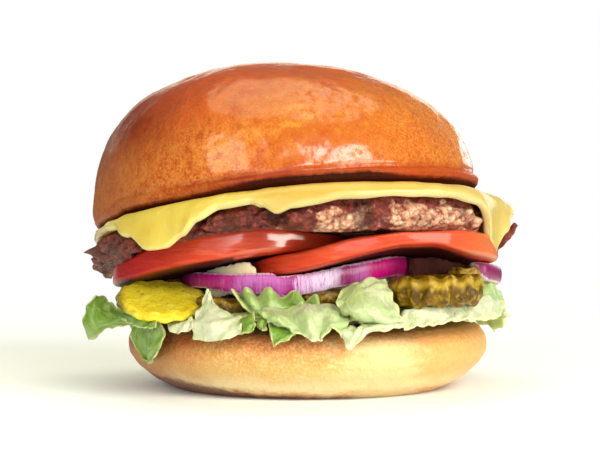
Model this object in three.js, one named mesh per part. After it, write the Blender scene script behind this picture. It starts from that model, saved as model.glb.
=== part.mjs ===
import * as THREE from 'three';

// A stacked cheeseburger. Millimetres, +Z up, z = 0 at the flat underside of
// the heel, +Y towards the back. Angles run from +X, so the front is 270.

// driving dimensions
const heelHeight = 18.5;
const heelRadius = 51.1;
const heelFlat = 38;          // radius of the flat underside
const gap = 0.35;             // air between neighbours
const rimRelief = 2.5;        // how far past a slice its underside still counts
const tilt = 0.14;            // the stack above the lettuce rises to the front
const lettuceSheet = 0.9;
const pattyRadius = 57.6;
const pattyCentre = [-2, -1];
const cragDepth = 1.3;
const cheeseSheet = 2.5;
const bunTopRadius = 54.4;
const bunTopHeight = 40.5;
const bunTopCentre = [-6.3, 0];
const bunTopRoll = 0.1;       // its rim drops to the left by this slope
const bunTopLean = 0.17;      // its dome leans to the left by this share of its height
const tomatoUpper = { at: [-21, -8], radius: 34 };
const tomatoLower = { at: [18, -14], radius: 36, thick: 5 };
const onionRing = { at: [-3, -9], radius: 33, wall: 3.4 };
const onionInner = { at: [0, -9], radius: 25, wall: 2.8 };
const onionRight = { at: [28.5, -6], radius: 25.5, wall: 3.2 };
const onionLeft = { at: [-33, -8], radius: 18, wall: 2.8 };

const full = 2 * Math.PI;
const rad = Math.PI / 180;
const mix = (a, b, t) => a + (b - a) * t;
const step = (a, b, x) => {
  const t = Math.min(1, Math.max(0, (x - a) / (b - a)));
  return t * t * (3 - 2 * t);
};
const hash = (i, j, k) => {
  const s = Math.sin(i * 127.1 + j * 311.7 + k * 74.7) * 43758.5453;
  return s - Math.floor(s);
};
// value noise in the plane, -1 to 1
const noise = (x, y, k) => {
  const i = Math.floor(x), j = Math.floor(y);
  const u = step(0, 1, x - i), v = step(0, 1, y - j);
  const low = mix(hash(i, j, k), hash(i + 1, j, k), u);
  const high = mix(hash(i, j + 1, k), hash(i + 1, j + 1, k), u);
  return mix(low, high, v) * 2 - 1;
};
// smooth run through evenly spaced values, t from 0 to 1
const run = (values, t) => {
  const f = Math.min(0.99999, Math.max(0, t)) * (values.length - 1);
  const i = Math.floor(f);
  return mix(values[i], values[i + 1], step(0, 1, f - i));
};
// smooth closed run through [degrees, value] pairs
const around = (pairs, angle) => {
  const a = ((angle / rad) % 360 + 360) % 360;
  for (let i = 0; i < pairs.length; i++) {
    const here = pairs[i], next = pairs[(i + 1) % pairs.length];
    const span = (next[0] - here[0] + 360) % 360;
    const off = (a - here[0] + 360) % 360;
    if (off <= span) return mix(here[1], next[1], step(0, 1, off / span));
  }
  return pairs[0][1];
};

const group = new THREE.Group();
const paints = {
  bun_crust: [0xc96f2e, 0.35], bun_heel: [0xe3ab5c, 0.6], lettuce: [0xc3d98a, 0.5],
  pickle_flesh: [0xc9b43c, 0.3], pickle_dark: [0x8a7429, 0.3], onion_purple: [0xb4509a, 0.4],
  onion_pale: [0xe8dcc2, 0.45], tomato: [0xd8473a, 0.25], patty: [0x7a4433, 0.8],
  cheese: [0xf2dc7a, 0.4],
};
const materials = {};
for (const [slot, [color, roughness]] of Object.entries(paints)) {
  materials[slot] = new THREE.MeshStandardMaterial({ color, roughness, metalness: 0 });
}

function addMesh(name, slot, points, faces) {
  const geometry = new THREE.BufferGeometry();
  geometry.setAttribute('position', new THREE.Float32BufferAttribute(points.flat(), 3));
  geometry.setIndex(faces);
  geometry.computeVertexNormals();
  const mesh = new THREE.Mesh(geometry, materials[slot]);
  mesh.name = name;
  group.add(mesh);
}

// closed disc-like shell: stations run from the bottom pole out, up and in to the top pole
function polarShell(name, slot, segments, stations, place) {
  const points = [], faces = [];
  const last = stations.length - 1;
  stations.forEach((station, k) => {
    const count = k === 0 || k === last ? 1 : segments;
    for (let i = 0; i < count; i++) points.push(place((i / segments) * full, ...station));
  });
  const at = (k, i) => (k === 0 ? 0 : k === last ? 1 + (last - 1) * segments
    : 1 + (k - 1) * segments + (i % segments));
  for (let k = 0; k < last; k++) {
    for (let i = 0; i < segments; i++) {
      const a = at(k, i), b = at(k, i + 1), c = at(k + 1, i + 1), d = at(k + 1, i);
      if (k === 0) faces.push(a, c, d);
      else if (k === last - 1) faces.push(a, b, c);
      else faces.push(a, b, c, a, c, d);
    }
  }
  addMesh(name, slot, points, faces);
}

// ring or arc of a closed section, listed counter-clockwise as [radius share, height share]
function ringShell(name, slot, segments, section, from, to, place) {
  const points = [], faces = [];
  const closed = to - from > 359.9 * rad;
  const rows = closed ? segments : segments + 1;
  const m = section.length;
  for (let i = 0; i < rows; i++) {
    for (const [across, up] of section) {
      points.push(place(mix(from, to, i / segments), across, up, closed ? 1 : i / segments));
    }
  }
  for (let i = 0; i < segments; i++) {
    const n = (i + 1) % rows;
    for (let j = 0; j < m; j++) {
      const k = (j + 1) % m;
      const a = i * m + j, b = n * m + j, c = n * m + k, d = i * m + k;
      faces.push(a, b, c, a, c, d);
    }
  }
  if (!closed) {
    for (const [row, turn] of [[0, 1], [segments, -1]]) {
      const own = points.slice(row * m, row * m + m);
      const middle = [0, 1, 2].map((q) => own.reduce((sum, p) => sum + p[q], 0) / m);
      points.push(middle);
      for (let j = 0; j < m; j++) {
        const a = row * m + j, b = row * m + ((j + 1) % m);
        if (turn > 0) faces.push(points.length - 1, a, b);
        else faces.push(points.length - 1, b, a);
      }
    }
  }
  addMesh(name, slot, points, faces);
}

// thin solid on both sides of place(u, v); both faces are split alike
function sheetShell(name, slot, nu, nv, thick, place) {
  const top = [], bottom = [], faces = [];
  const d = 0.004;
  for (let i = 0; i <= nu; i++) {
    for (let j = 0; j <= nv; j++) {
      const u = i / nu, v = j / nv;
      const p = new THREE.Vector3(...place(u, v));
      const pu = new THREE.Vector3(...place(Math.min(1, u + d), v))
        .sub(new THREE.Vector3(...place(Math.max(0, u - d), v)));
      const pv = new THREE.Vector3(...place(u, Math.min(1, v + d)))
        .sub(new THREE.Vector3(...place(u, Math.max(0, v - d))));
      const n = pv.cross(pu).normalize().multiplyScalar(thick / 2);
      top.push(p.clone().add(n).toArray());
      bottom.push(p.clone().sub(n).toArray());
    }
  }
  const count = top.length;
  const at = (i, j) => i * (nv + 1) + j;
  for (let i = 0; i < nu; i++) {
    for (let j = 0; j < nv; j++) {
      const a = at(i, j), b = at(i + 1, j), c = at(i + 1, j + 1), e = at(i, j + 1);
      faces.push(a, e, c, a, c, b);
      faces.push(count + a, count + b, count + c, count + a, count + c, count + e);
    }
  }
  const wall = (a, b) => faces.push(a, b, count + b, a, count + b, count + a);
  for (let i = 0; i < nu; i++) {
    wall(at(i, 0), at(i + 1, 0));
    wall(at(i + 1, nv), at(i, nv));
  }
  for (let j = 0; j < nv; j++) {
    wall(at(0, j + 1), at(0, j));
    wall(at(nu, j), at(nu, j + 1));
  }
  addMesh(name, slot, top.concat(bottom), faces);
}

// surfaces the layers share, as height over (x, y)
const cheeseTop = (x, y) => 52.3 - 0.00085 * (x - 45) ** 2 - tilt * y;
const pattyTop = (x, y) => cheeseTop(x, y) - cheeseSheet - gap;
const pattyBottom = (x, y) =>
  (x < 8 ? 40.7 - 0.002 * (x - 8) ** 2 : 40.7 - 1.3 * step(8, 24, x)) - tilt * y;
const upperThick = (x) => mix(5.6, 3.5, step(-40, 5, x));
const upperTop = (x, y) => pattyBottom(x, y) - gap - 3.3 * step(-41, -52, x);
const upperBottom = (x, y) => upperTop(x, y) - upperThick(x);
const lowerTop = (x, y) =>
  pattyBottom(x, y) - gap - (upperThick(x) + gap) * (1 - step(8, 31, x));
const lowerBottom = (x, y) => lowerTop(x, y) - tomatoLower.thick;
// is (x, y) under the disc, or within a margin of its rim
const inside = (disc, x, y, margin) =>
  Math.hypot(x - disc.at[0], y - disc.at[1]) < disc.radius + margin;
const underTomato = (x, y) => {
  let low = 60;
  if (inside(tomatoUpper, x, y, rimRelief)) low = Math.min(low, upperBottom(x, y));
  if (inside(tomatoLower, x, y, rimRelief)) low = Math.min(low, lowerBottom(x, y));
  return low - 1.5 * gap;
};

// heel: domed side, flat foot, soft upper edge
{
  const profile = [[20, 0], [heelFlat, 0], [41.2, 1.5], [44.9, 3.3], [48.8, 6.7],
    [heelRadius, 10], [51.3, 12.4], [50.8, 14.8], [49.2, 17.1], [46.6, 18.3],
    [42, heelHeight], [22, heelHeight]];
  polarShell('bun_heel', 'bun_heel', 40, [[0, 0], ...profile, [0, heelHeight]], (a, r, z) => {
    const swell = 1 - 0.009 * (1 + noise(Math.cos(a) * 1.7 + 4, Math.sin(a) * 1.7, 3)) * step(38, 48, r);
    return [r * swell * Math.cos(a), r * swell * Math.sin(a), z];
  });
}

// lettuce: each leaf lies on the heel, swells by its lift, then bends by its
// own droop near the edge. from, to: degrees round the burger; reach: developed
// radius; droop: degrees down (minus: up); hump: a standing fold over the rim
const leaves = [
  { name: 'lettuce_far_left', from: 166, to: 207.5, cells: 20, lift: [0, 0.3, 0, 0, 0.2],
    reach: [55, 57, 58, 60, 64, 64, 62, 58, 54], droop: [35, 50, 28, 6, -32, -20, 24, 40, 46],
    upFrom: 49.5 },
  { name: 'lettuce_cup', from: 209, to: 232, cells: 14, lift: [0, 0.3, 0],
    reach: [56, 58.5, 59.5, 58, 57, 55], droop: [46, 70, 78, 66, 48, 34] },
  { name: 'lettuce_pale', from: 233.5, to: 255, cells: 14, lift: [2, 5.4, 5.2, 4.4, 4],
    reach: [54, 60, 60, 58, 58, 57], droop: [44, 62, 66, 56, 52, 46], hump: [0, 3, 1, 0, 0, 0] },
  { name: 'lettuce_ruffle', from: 256.3, to: 283.3, cells: 22, lift: [4, 5, 4.6, 5, 4.4],
    reach: [56, 57, 54, 57, 54, 58, 56],
    droop: [42, 56, 24, 52, 22, 58, 34] },
  { name: 'lettuce_bulge', from: 284.6, to: 303.2, cells: 14, lift: [4, 5, 4.6, 3, 2],
    reach: [56, 58, 59, 58, 57, 57, 56], droop: [38, 56, 60, 56, 44, 26, 34],
    hump: [1, 8.5, 10, 8, 0.5, 0, 0] },
  { name: 'lettuce_flat', from: 304.5, to: 344.5, cells: 20, lift: [2, 3, 3.2, 3, 2, 1],
    reach: [56, 59, 57, 60, 58, 60, 59, 61, 61], droop: [36, 18, 32, 16, 30, 14, 26, -8, -24],
    upFrom: 46 },
  { name: 'lettuce_back_right', from: 346, to: 440, cells: 23, lift: [1.5, 4, 4.6, 4.2, 4.8, 4.2],
    reach: [61, 59, 57, 60, 57, 60, 57, 61, 58, 60, 57, 58], upFrom: 46,
    droop: [-24, 14, 52, 20, 50, 18, 54, 22, 56, 20, 48, 36] },
  { name: 'lettuce_back_left', from: 81.5, to: 164.5, cells: 20, lift: [4.2, 4.8, 4.4, 4.8, 3.6, 1],
    reach: [57, 60, 57, 61, 58, 60, 57, 60, 58, 56],
    droop: [40, 20, 54, 22, 56, 18, 50, 24, 52, 36] },
];
for (const leaf of leaves) {
  const bend = 5.4;
  sheetShell(leaf.name, 'lettuce', leaf.cells, 6, lettuceSheet, (u, v) => {
    const droop = run(leaf.droop, u) * rad;
    const lift = run(leaf.lift, u);
    const start = droop > 0 ? mix(46.6, 43.4, step(0, 5, lift)) : leaf.upFrom;
    const s = mix(24, run(leaf.reach, u), v ** 0.75);
    const turn = Math.min(Math.abs(droop), Math.max(0, s - start) / bend);
    const rest = Math.max(0, s - start - bend * turn);
    const r = Math.min(s, start) + bend * Math.sin(turn) + rest * Math.cos(turn);
    const fall = bend * (1 - Math.cos(turn)) + rest * Math.sin(turn);
    const a = mix(leaf.from, leaf.to, u) * rad;
    const x = r * Math.cos(a), y = r * Math.sin(a);
    const wave = 0.5 + 0.5 * noise(x / 9, y / 9, 11);
    const fold = leaf.hump ? run(leaf.hump, u) * Math.exp(-(((s - 48.5) / 3.6) ** 2)) : 0;
    const z = heelHeight + gap + lettuceSheet / 2 + 0.25
      + lift * step(32, 42, s) + wave * step(24, 40, s) * step(1.2, 0.2, turn)
      + fold - (droop > 0 ? fall : -fall);
    return [x, y, z];
  });
}

// pickles: crinkle-cut chips; lean is the rise towards the back and to the right
const pickles = [
  { name: 'pickle_left', slot: 'pickle_flesh', at: [-40, -32, 25.5], radius: 12.3, thick: 4.6,
    lean: [-0.03, 0.17], cut: 0.5, segments: 24 },
  { name: 'pickle_right', slot: 'pickle_dark', at: [35.4, -37, 29.3], radius: 13.2, thick: 7.2,
    lean: [0.02, 0.09], cut: 0.2, segments: 24 },
  { name: 'pickle_mid_left', slot: 'pickle_dark', at: [-20, -19, 24.2], radius: 10, thick: 4,
    lean: [0.05, -0.06], cut: 0.4, segments: 18 },
  { name: 'pickle_mid_right', slot: 'pickle_dark', at: [6, -21, 24.6], radius: 10.5, thick: 4,
    lean: [0.04, -0.05], cut: 0.9, segments: 18 },
  { name: 'pickle_back_left', slot: 'pickle_flesh', at: [-23.5, 38.5, 28.6], radius: 11.5, thick: 3.6,
    lean: [0.05, -0.06], cut: 0.3, segments: 18 },
  { name: 'pickle_back_right', slot: 'pickle_flesh', at: [24, 35.5, 28.8], radius: 11.5, thick: 3.6,
    lean: [-0.03, -0.05], cut: 1.2, segments: 18 },
];
for (const chip of pickles) {
  const stations = [[0, 0], [0.35, 0], [0.68, 0], [0.92, 0.02], [1, 0.25], [1.015, 0.5],
    [1, 0.75], [0.92, 0.98], [0.68, 1], [0.35, 1], [0, 1]];
  polarShell(chip.name, chip.slot, chip.segments, stations, (a, rho, side) => {
    const r = rho * chip.radius * (1 + 0.02 * Math.sin(3 * a + chip.cut));
    const lx = r * Math.cos(a), ly = r * Math.sin(a);
    const along = lx * Math.cos(chip.cut) + ly * Math.sin(chip.cut);
    const crinkle = 0.38 * Math.sin((along / 5.4) * full);
    const x = chip.at[0] + lx, y = chip.at[1] + ly;
    return [x, y, chip.at[2] + lx * chip.lean[0] + ly * chip.lean[1]
      + (side - 0.5) * chip.thick + crinkle];
  });
}

// onion: bands whose upper edge stays just under the tomato
const band = [[0.18, 0], [0.8, 0], [1, 0.2], [1.06, 0.55], [1, 0.86], [0.8, 1], [0.18, 1], [0, 0.5]];
function onionPiece(name, slot, ring, segments, from, to, height, crest) {
  ringShell(name, slot, segments, band, from * rad, to * rad, (a, across, up, along) => {
    const wobble = 1 + 0.02 * Math.sin(2 * a + 1) + 0.012 * Math.sin(5 * a);
    const r = ring.radius * wobble - ring.wall * (1 - across);
    const x = ring.at[0] + r * Math.cos(a), y = ring.at[1] + r * Math.sin(a);
    const mx = ring.at[0] + ring.radius * Math.cos(a), my = ring.at[1] + ring.radius * Math.sin(a);
    const top = Math.min(crest(mx, my), underTomato(mx, my), underTomato(x, y));
    const ends = along === 1 && to - from > 359 ? 1 : step(0, 0.12, along) * step(1, 0.88, along);
    const h = height(mx) * mix(0.6, 1, ends);
    return [x, y, top - h * (1 - up)];
  });
}
// the rings rise to the front, and less steeply sink to the back
const rise = (y) => (y < 0 ? -tilt * y : -0.07 * y);
onionPiece('onion_ring', 'onion_purple', onionRing, 36, 0, 360,
  (x) => 5.6 - 1.5 * step(-18, -30, x), (x, y) => 28.6 + 0.0042 * (x + 13) ** 2 + rise(y));
onionPiece('onion_inner', 'onion_pale', onionInner, 26, 0, 360,
  () => 4.0, (x, y) => 28.0 + 0.003 * (x + 13) ** 2 + rise(y) * 0.85);
onionPiece('onion_right', 'onion_purple', onionRight, 16, -46, 104, () => 4.8,
  (x, y) => lowerBottom(x, y) - gap);
onionPiece('onion_left', 'onion_pale', onionLeft, 11, 135, 226, () => 3.2,
  (x, y) => upperBottom(x, y) - gap);

// tomato: a thick slice with a wedge-shaped one over it
const slice = [[0, 0], [0.4, 0], [0.74, 0], [0.93, 0.02], [0.985, 0.18], [1, 0.5], [0.985, 0.82],
  [0.93, 0.98], [0.74, 1], [0.4, 1], [0, 1]];
function tomatoSlice(name, disc, top, bottom, seed) {
  polarShell(name, 'tomato', 32, slice, (a, rho, side) => {
    const r = rho * disc.radius * (1 + 0.012 * noise(Math.cos(a) * 2 + seed, Math.sin(a) * 2, seed));
    const x = disc.at[0] + r * Math.cos(a), y = disc.at[1] + r * Math.sin(a);
    return [x, y, mix(bottom(x, y), top(x, y), side)];
  });
}
tomatoSlice('tomato_upper', tomatoUpper, upperTop, upperBottom, 5);
tomatoSlice('tomato_lower', tomatoLower, lowerTop, lowerBottom, 8);

// patty: craggy rim, one ragged lump hanging at the left
const rimRadius = (a) => pattyRadius + 1.1 * noise(Math.cos(a) * 4 + 9, Math.sin(a) * 4, 21)
  + around([[0, 0], [160, 0], [186, 3.4], [212, 0]], a);
{
  const stations = [[0, 0], [0.3, 0], [0.58, 0], [0.78, 0], [0.9, 0], [0.955, 0], [0.985, 0.12],
    [1, 0.35], [1, 0.62], [0.985, 0.86], [0.945, 0.98], [0.87, 1], [0.7, 1], [0.45, 1], [0.2, 1],
    [0, 1]];
  polarShell('patty', 'patty', 46, stations, (a, rho, side) => {
    const crag = rho > 0.96 ? cragDepth * noise(a * 14, side * 3.1, 33) - 1.4 * step(0.5, 0.8, side) : 0;
    const hang = around([[0, 0], [166, 0], [178, 7], [196, 7.5], [206, 0]], a)
      * step(0.95, 0.99, rho) * (1 - side);
    const r = rho * rimRadius(a) + crag - 0.55 * hang;
    const x = pattyCentre[0] + r * Math.cos(a), y = pattyCentre[1] + r * Math.sin(a);
    const lump = rho > 0.85 && rho < 0.97 ? 0.8 * (0.5 + 0.5 * noise(x / 5, y / 5, 41)) : 0;
    const low = pattyBottom(x, y) + (side < 0.5 ? lump : 0);
    return [x, y, mix(low, pattyTop(x, y), side) - hang];
  });
}

// cheese: lies on the patty and bends over its rim, most at the corners
{
  const outline = [[0, 62.5], [22, 61], [45, 63], [67, 68], [90, 62], [120, 62], [145, 68],
    [165, 60], [180, 58.6], [198, 58.6], [208, 62.5], [222, 70], [238, 64], [254, 61.5], [263, 64.5], [270, 61.8],
    [290, 61.5], [314, 62], [330, 63], [340, 64.5], [350, 63]];
  const bends = [[0, 42], [67, 66], [110, 50], [145, 66], [190, 55], [222, 78], [240, 68],
    [263, 82], [275, 60], [300, 54], [322, 46], [340, 56]];
  const bend = 4.2;
  const stations = [[0, 0], [0.35, 0], [0.65, 0], [0.83, 0], [0.89, 0], [0.94, 0], [0.985, 0],
    [1, 0.2], [1, 0.8], [0.985, 1], [0.94, 1], [0.89, 1], [0.83, 1], [0.65, 1], [0.35, 1], [0, 1]];
  polarShell('cheese', 'cheese', 46, stations, (a, rho, side) => {
    const s = rho * around(outline, a);
    const start = rimRadius(a) - 1.5;
    const turn = Math.min(around(bends, a) * rad, Math.max(0, s - start) / bend);
    const rest = Math.max(0, s - start - bend * turn);
    const out = (side - 0.5) * cheeseSheet;
    const r = Math.min(s, start) + bend * Math.sin(turn) + rest * Math.cos(turn)
      + out * Math.sin(turn);
    const fall = bend * (1 - Math.cos(turn)) + rest * Math.sin(turn);
    const x = pattyCentre[0] + r * Math.cos(a), y = pattyCentre[1] + r * Math.sin(a);
    return [x, y, cheeseTop(x, y) - cheeseSheet / 2 - fall + out * Math.cos(turn)];
  });
}

// top bun: fuller on its left, a rolled lip below a soft crease
{
  const under = [[0, 0], [0.35, 0], [0.65, 0], [0.84, 0], [0.94, 0.1], [0.98, 0.9], [0.99, 2],
    [0.984, 2.9], [0.995, 3.7]].map(([rho, h]) => [rho, h, -1]);
  const dome = [6, 14, 24, 35, 47, 59, 70, 80, 90].map((degrees) => [0, 0, degrees * rad]);
  polarShell('bun_top', 'bun_crust', 42, [...under, ...dome], (a, rho, h, turn) => {
    const left = 0.5 - 0.5 * Math.cos(a);
    let share = rho, up = h;
    if (turn >= 0) {
      share = Math.max(0, Math.cos(turn)) ** (2 / mix(1.57, 3.3, left));
      up = 3.7 + (bunTopHeight - 3.7) * Math.sin(turn) ** (2 / mix(2.29, 1.42, left));
    }
    const swell = 1 + 0.008 * noise(Math.cos(a) * 1.5 + 2, Math.sin(a) * 1.5 + up / 20, 51);
    const r = share * bunTopRadius * swell;
    const lx = bunTopCentre[0] + r * Math.cos(a), ly = bunTopCentre[1] + r * Math.sin(a);
    const seat = 50.2 + bunTopRoll * (lx - bunTopCentre[0]) - tilt * ly;
    const rest = cheeseTop(lx, ly) + gap;
    const base = turn < 0 ? Math.max(rest, mix(rest, seat, step(0.66, 0.93, rho))) : seat;
    return [lx - bunTopLean * up, ly + tilt * up, base + up];
  });
}

export default group;
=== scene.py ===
import math
import bmesh
import bpy
import numpy as np
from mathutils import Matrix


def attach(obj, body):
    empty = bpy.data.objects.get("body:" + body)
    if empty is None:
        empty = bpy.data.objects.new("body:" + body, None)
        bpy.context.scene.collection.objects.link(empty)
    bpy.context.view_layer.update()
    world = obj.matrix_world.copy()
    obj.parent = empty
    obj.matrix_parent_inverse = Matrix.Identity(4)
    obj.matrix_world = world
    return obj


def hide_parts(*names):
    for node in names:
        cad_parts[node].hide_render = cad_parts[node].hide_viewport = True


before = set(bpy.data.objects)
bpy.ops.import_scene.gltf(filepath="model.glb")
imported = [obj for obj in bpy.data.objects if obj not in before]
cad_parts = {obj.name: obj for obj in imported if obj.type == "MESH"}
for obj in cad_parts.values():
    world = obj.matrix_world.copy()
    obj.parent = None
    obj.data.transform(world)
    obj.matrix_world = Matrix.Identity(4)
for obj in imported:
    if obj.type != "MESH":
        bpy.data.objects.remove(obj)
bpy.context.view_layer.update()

# Lengths are in millimetres until addPiece turns them to metres.
# Angles run from +X, so the front of the burger is at 270 degrees.
fullTurn = 2 * math.pi
metre = 0.001  # one millimetre in metres
layer = {
    "gap": 0.35, "tilt": 0.14,  # air between neighbours, and how steeply the stack rises to the front
    "heelHeight": 18.5, "pattyBase": 40.7, "cheeseCrest": 52.3, "crestAt": 45, "cheeseSheet": 2.5,
    "tomatoThick": 5.4,
}


def mix(a, b, t):
    return a + (b - a) * t


def smooth(a, b, x):  # smooth rise from 0 at a to 1 at b
    t = np.clip((x - a) / (b - a), 0, 1)
    return t * t * (3 - 2 * t)


def hashOf(i, j, k):
    s = np.sin(i * 127.1 + j * 311.7 + k * 74.7) * 43758.5453
    return s - np.floor(s)


def noise2(x, y, k):  # value noise in the plane, -1 to 1
    i, j = np.floor(x), np.floor(y)
    u, v = smooth(0, 1, x - i), smooth(0, 1, y - j)
    low = mix(hashOf(i, j, k), hashOf(i + 1, j, k), u)
    high = mix(hashOf(i, j + 1, k), hashOf(i + 1, j + 1, k), u)
    return mix(low, high, v) * 2 - 1


def noise3(points, k):  # value noise in space, -1 to 1: two planes of noise2 blended along z
    x, y, z = np.moveaxis(points, -1, 0)
    level = np.floor(z)
    return mix(noise2(x, y, level * 7.3 + k), noise2(x, y, (level + 1) * 7.3 + k), smooth(0, 1, z - level))


def fractal(points, k, octaves):  # halving layers of noise3
    return sum(noise3(points * 2 ** n, k + 3 * n) / 2 ** n for n in range(octaves))


def cells(points, k):  # distances to the nearest and next of points scattered one to a unit cube
    base = np.floor(points)
    near = np.full(points.shape[:-1], 9.0)
    second = near.copy()
    for shift in np.ndindex(3, 3, 3):
        cube = base + np.array(shift) - 1
        cx, cy, cz = np.moveaxis(cube, -1, 0)
        spot = cube + np.stack([hashOf(cx, cy, cz * 3.7 + k + n) for n in (0, 11, 23)], -1)
        away = np.linalg.norm(points - spot, axis=-1)
        second = np.minimum(second, np.maximum(near, away))
        near = np.minimum(near, away)
    return near, second


def run(values, t):  # smooth run through evenly spaced values, t from 0 to 1
    values = np.array(values, float)
    f = np.clip(t, 0, 0.99999) * (len(values) - 1)
    i = f.astype(int)
    return mix(values[i], values[i + 1], smooth(0, 1, f - i))


def around(pairs, angle):  # smooth closed run through [degrees, value] pairs
    degrees, values = np.array(pairs, float).T
    at = np.degrees(angle) % 360
    i = np.searchsorted(degrees, at, side="right") - 1
    j = (i + 1) % len(degrees)
    span = (degrees[j] - degrees[i]) % 360
    return mix(values[i], values[j], smooth(0, 1, ((at - degrees[i]) % 360) / span))


def stations(pairs, count):  # evenly spaced points along a polyline of pairs, rounded by a short average
    pairs = np.array(pairs, float)
    along = np.concatenate([[0], np.cumsum(np.linalg.norm(np.diff(pairs, axis=0), axis=1))])
    at = np.linspace(0, along[-1], count)
    line = np.stack([np.interp(at, along, pairs[:, q]) for q in range(pairs.shape[1])], -1)
    soft = line.copy()
    soft[1:-1] = (line[:-2] + 2 * line[1:-1] + line[2:]) / 4
    return soft


def discSection(reach, count, edge, fine):  # flat rows out to reach, a rounded edge, and flat rows back
    inner = np.linspace(0, reach, count)
    below, above = np.stack([inner, 0 * inner], 1), np.stack([inner[::-1], 1 + 0 * inner], 1)
    return np.concatenate([below, stations(edge, fine), above])


def polarGrid(section, segments):  # angles round a full turn, and the section's two columns at each
    a = np.broadcast_to(np.linspace(0, fullTurn, segments, endpoint=False), (len(section), segments))
    return a, section[:, :1] + 0 * a, section[:, 1:] + 0 * a


def normalsOf(points, closed):  # unit cross product of the grid's two slopes
    rows = np.gradient(points, axis=0)
    if closed:
        wide = np.concatenate([points[:, -1:], points, points[:, :1]], 1)
        columns = np.gradient(wide, axis=1)[:, 1:-1]
    else:
        columns = np.gradient(points, axis=1)
    n = np.cross(columns, rows)
    return n / np.maximum(np.linalg.norm(n, axis=-1, keepdims=True), 1e-9)


def addPiece(name, points, material, replaces=(), closed=False, poles=False, attributes=None, sheet=0):
    # points is a grid of rows; closed joins each row's end to its start, poles shrinks
    # the first and last row to a point, sheet is the thickness given to an open surface
    rows, count = points.shape[:2]
    index = np.arange(rows * count).reshape(rows, count)
    keep = np.ones((rows, count), bool)
    if poles:
        points = points.copy()
        for end in (0, -1):
            points[end] = points[end].mean(0)
            keep[end, 1:] = False
            index[end] = index[end, 0]
    numbers = np.cumsum(keep.ravel()) - 1
    index = numbers[index]
    if closed:
        index = np.concatenate([index, index[:, :1]], 1)
    a, b, c, d = index[:-1, :-1], index[:-1, 1:], index[1:, 1:], index[1:, :-1]
    quads = np.stack([a, b, c, d], -1)
    faces = []
    if poles:
        faces += np.stack([a[0], c[0], d[0]], -1).tolist()
        faces += np.stack([a[-1], b[-1], c[-1]], -1).tolist()
        quads = quads[1:-1]
    faces += quads.reshape(-1, 4).tolist()
    mesh = bpy.data.meshes.new(name)
    mesh.from_pydata((points[keep] * metre).tolist(), [], faces)
    for key, values in (attributes or {}).items():
        values = np.broadcast_to(values, (rows, count))[keep].astype(np.float32)
        mesh.attributes.new(key, "FLOAT", "POINT").data.foreach_set("value", values)
    mesh.polygons.foreach_set("use_smooth", np.ones(len(faces), bool))
    mesh.materials.append(material)
    mesh.update()
    piece = bpy.data.objects.new(name, mesh)
    bpy.context.scene.collection.objects.link(piece)
    if sheet:
        wall = piece.modifiers.new("sheet", "SOLIDIFY")
        wall.thickness, wall.offset = sheet * metre, 0
    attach(piece, "root")
    if replaces:
        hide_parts(*replaces)
    return piece


class Wire:
    # a node's output; sums, products and quotients of wires and numbers add Math nodes
    def __init__(self, paint, socket):
        self.paint, self.socket = paint, socket

    def calc(self, operation, *values):
        return self.paint.node("Math", {"operation": operation}, dict(enumerate(values)))

    def __add__(self, other):
        return self.calc("ADD", self, other)

    def __sub__(self, other):
        return self.calc("SUBTRACT", self, other)

    def __rsub__(self, other):
        return self.calc("SUBTRACT", other, self)

    def __mul__(self, other):
        return self.calc("MULTIPLY", self, other)

    def __truediv__(self, other):
        return self.calc("DIVIDE", self, other)

    __radd__ = __add__
    __rmul__ = __mul__

    def wave(self):
        return self.calc("SINE", self)

    def rise(self, low, high):  # 0 below low, 1 above high, smooth between
        limits = {0: self, 1: low, 2: high, 3: 0, 4: 1}
        return self.paint.node("MapRange", {"interpolation_type": "SMOOTHSTEP"}, limits)


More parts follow.
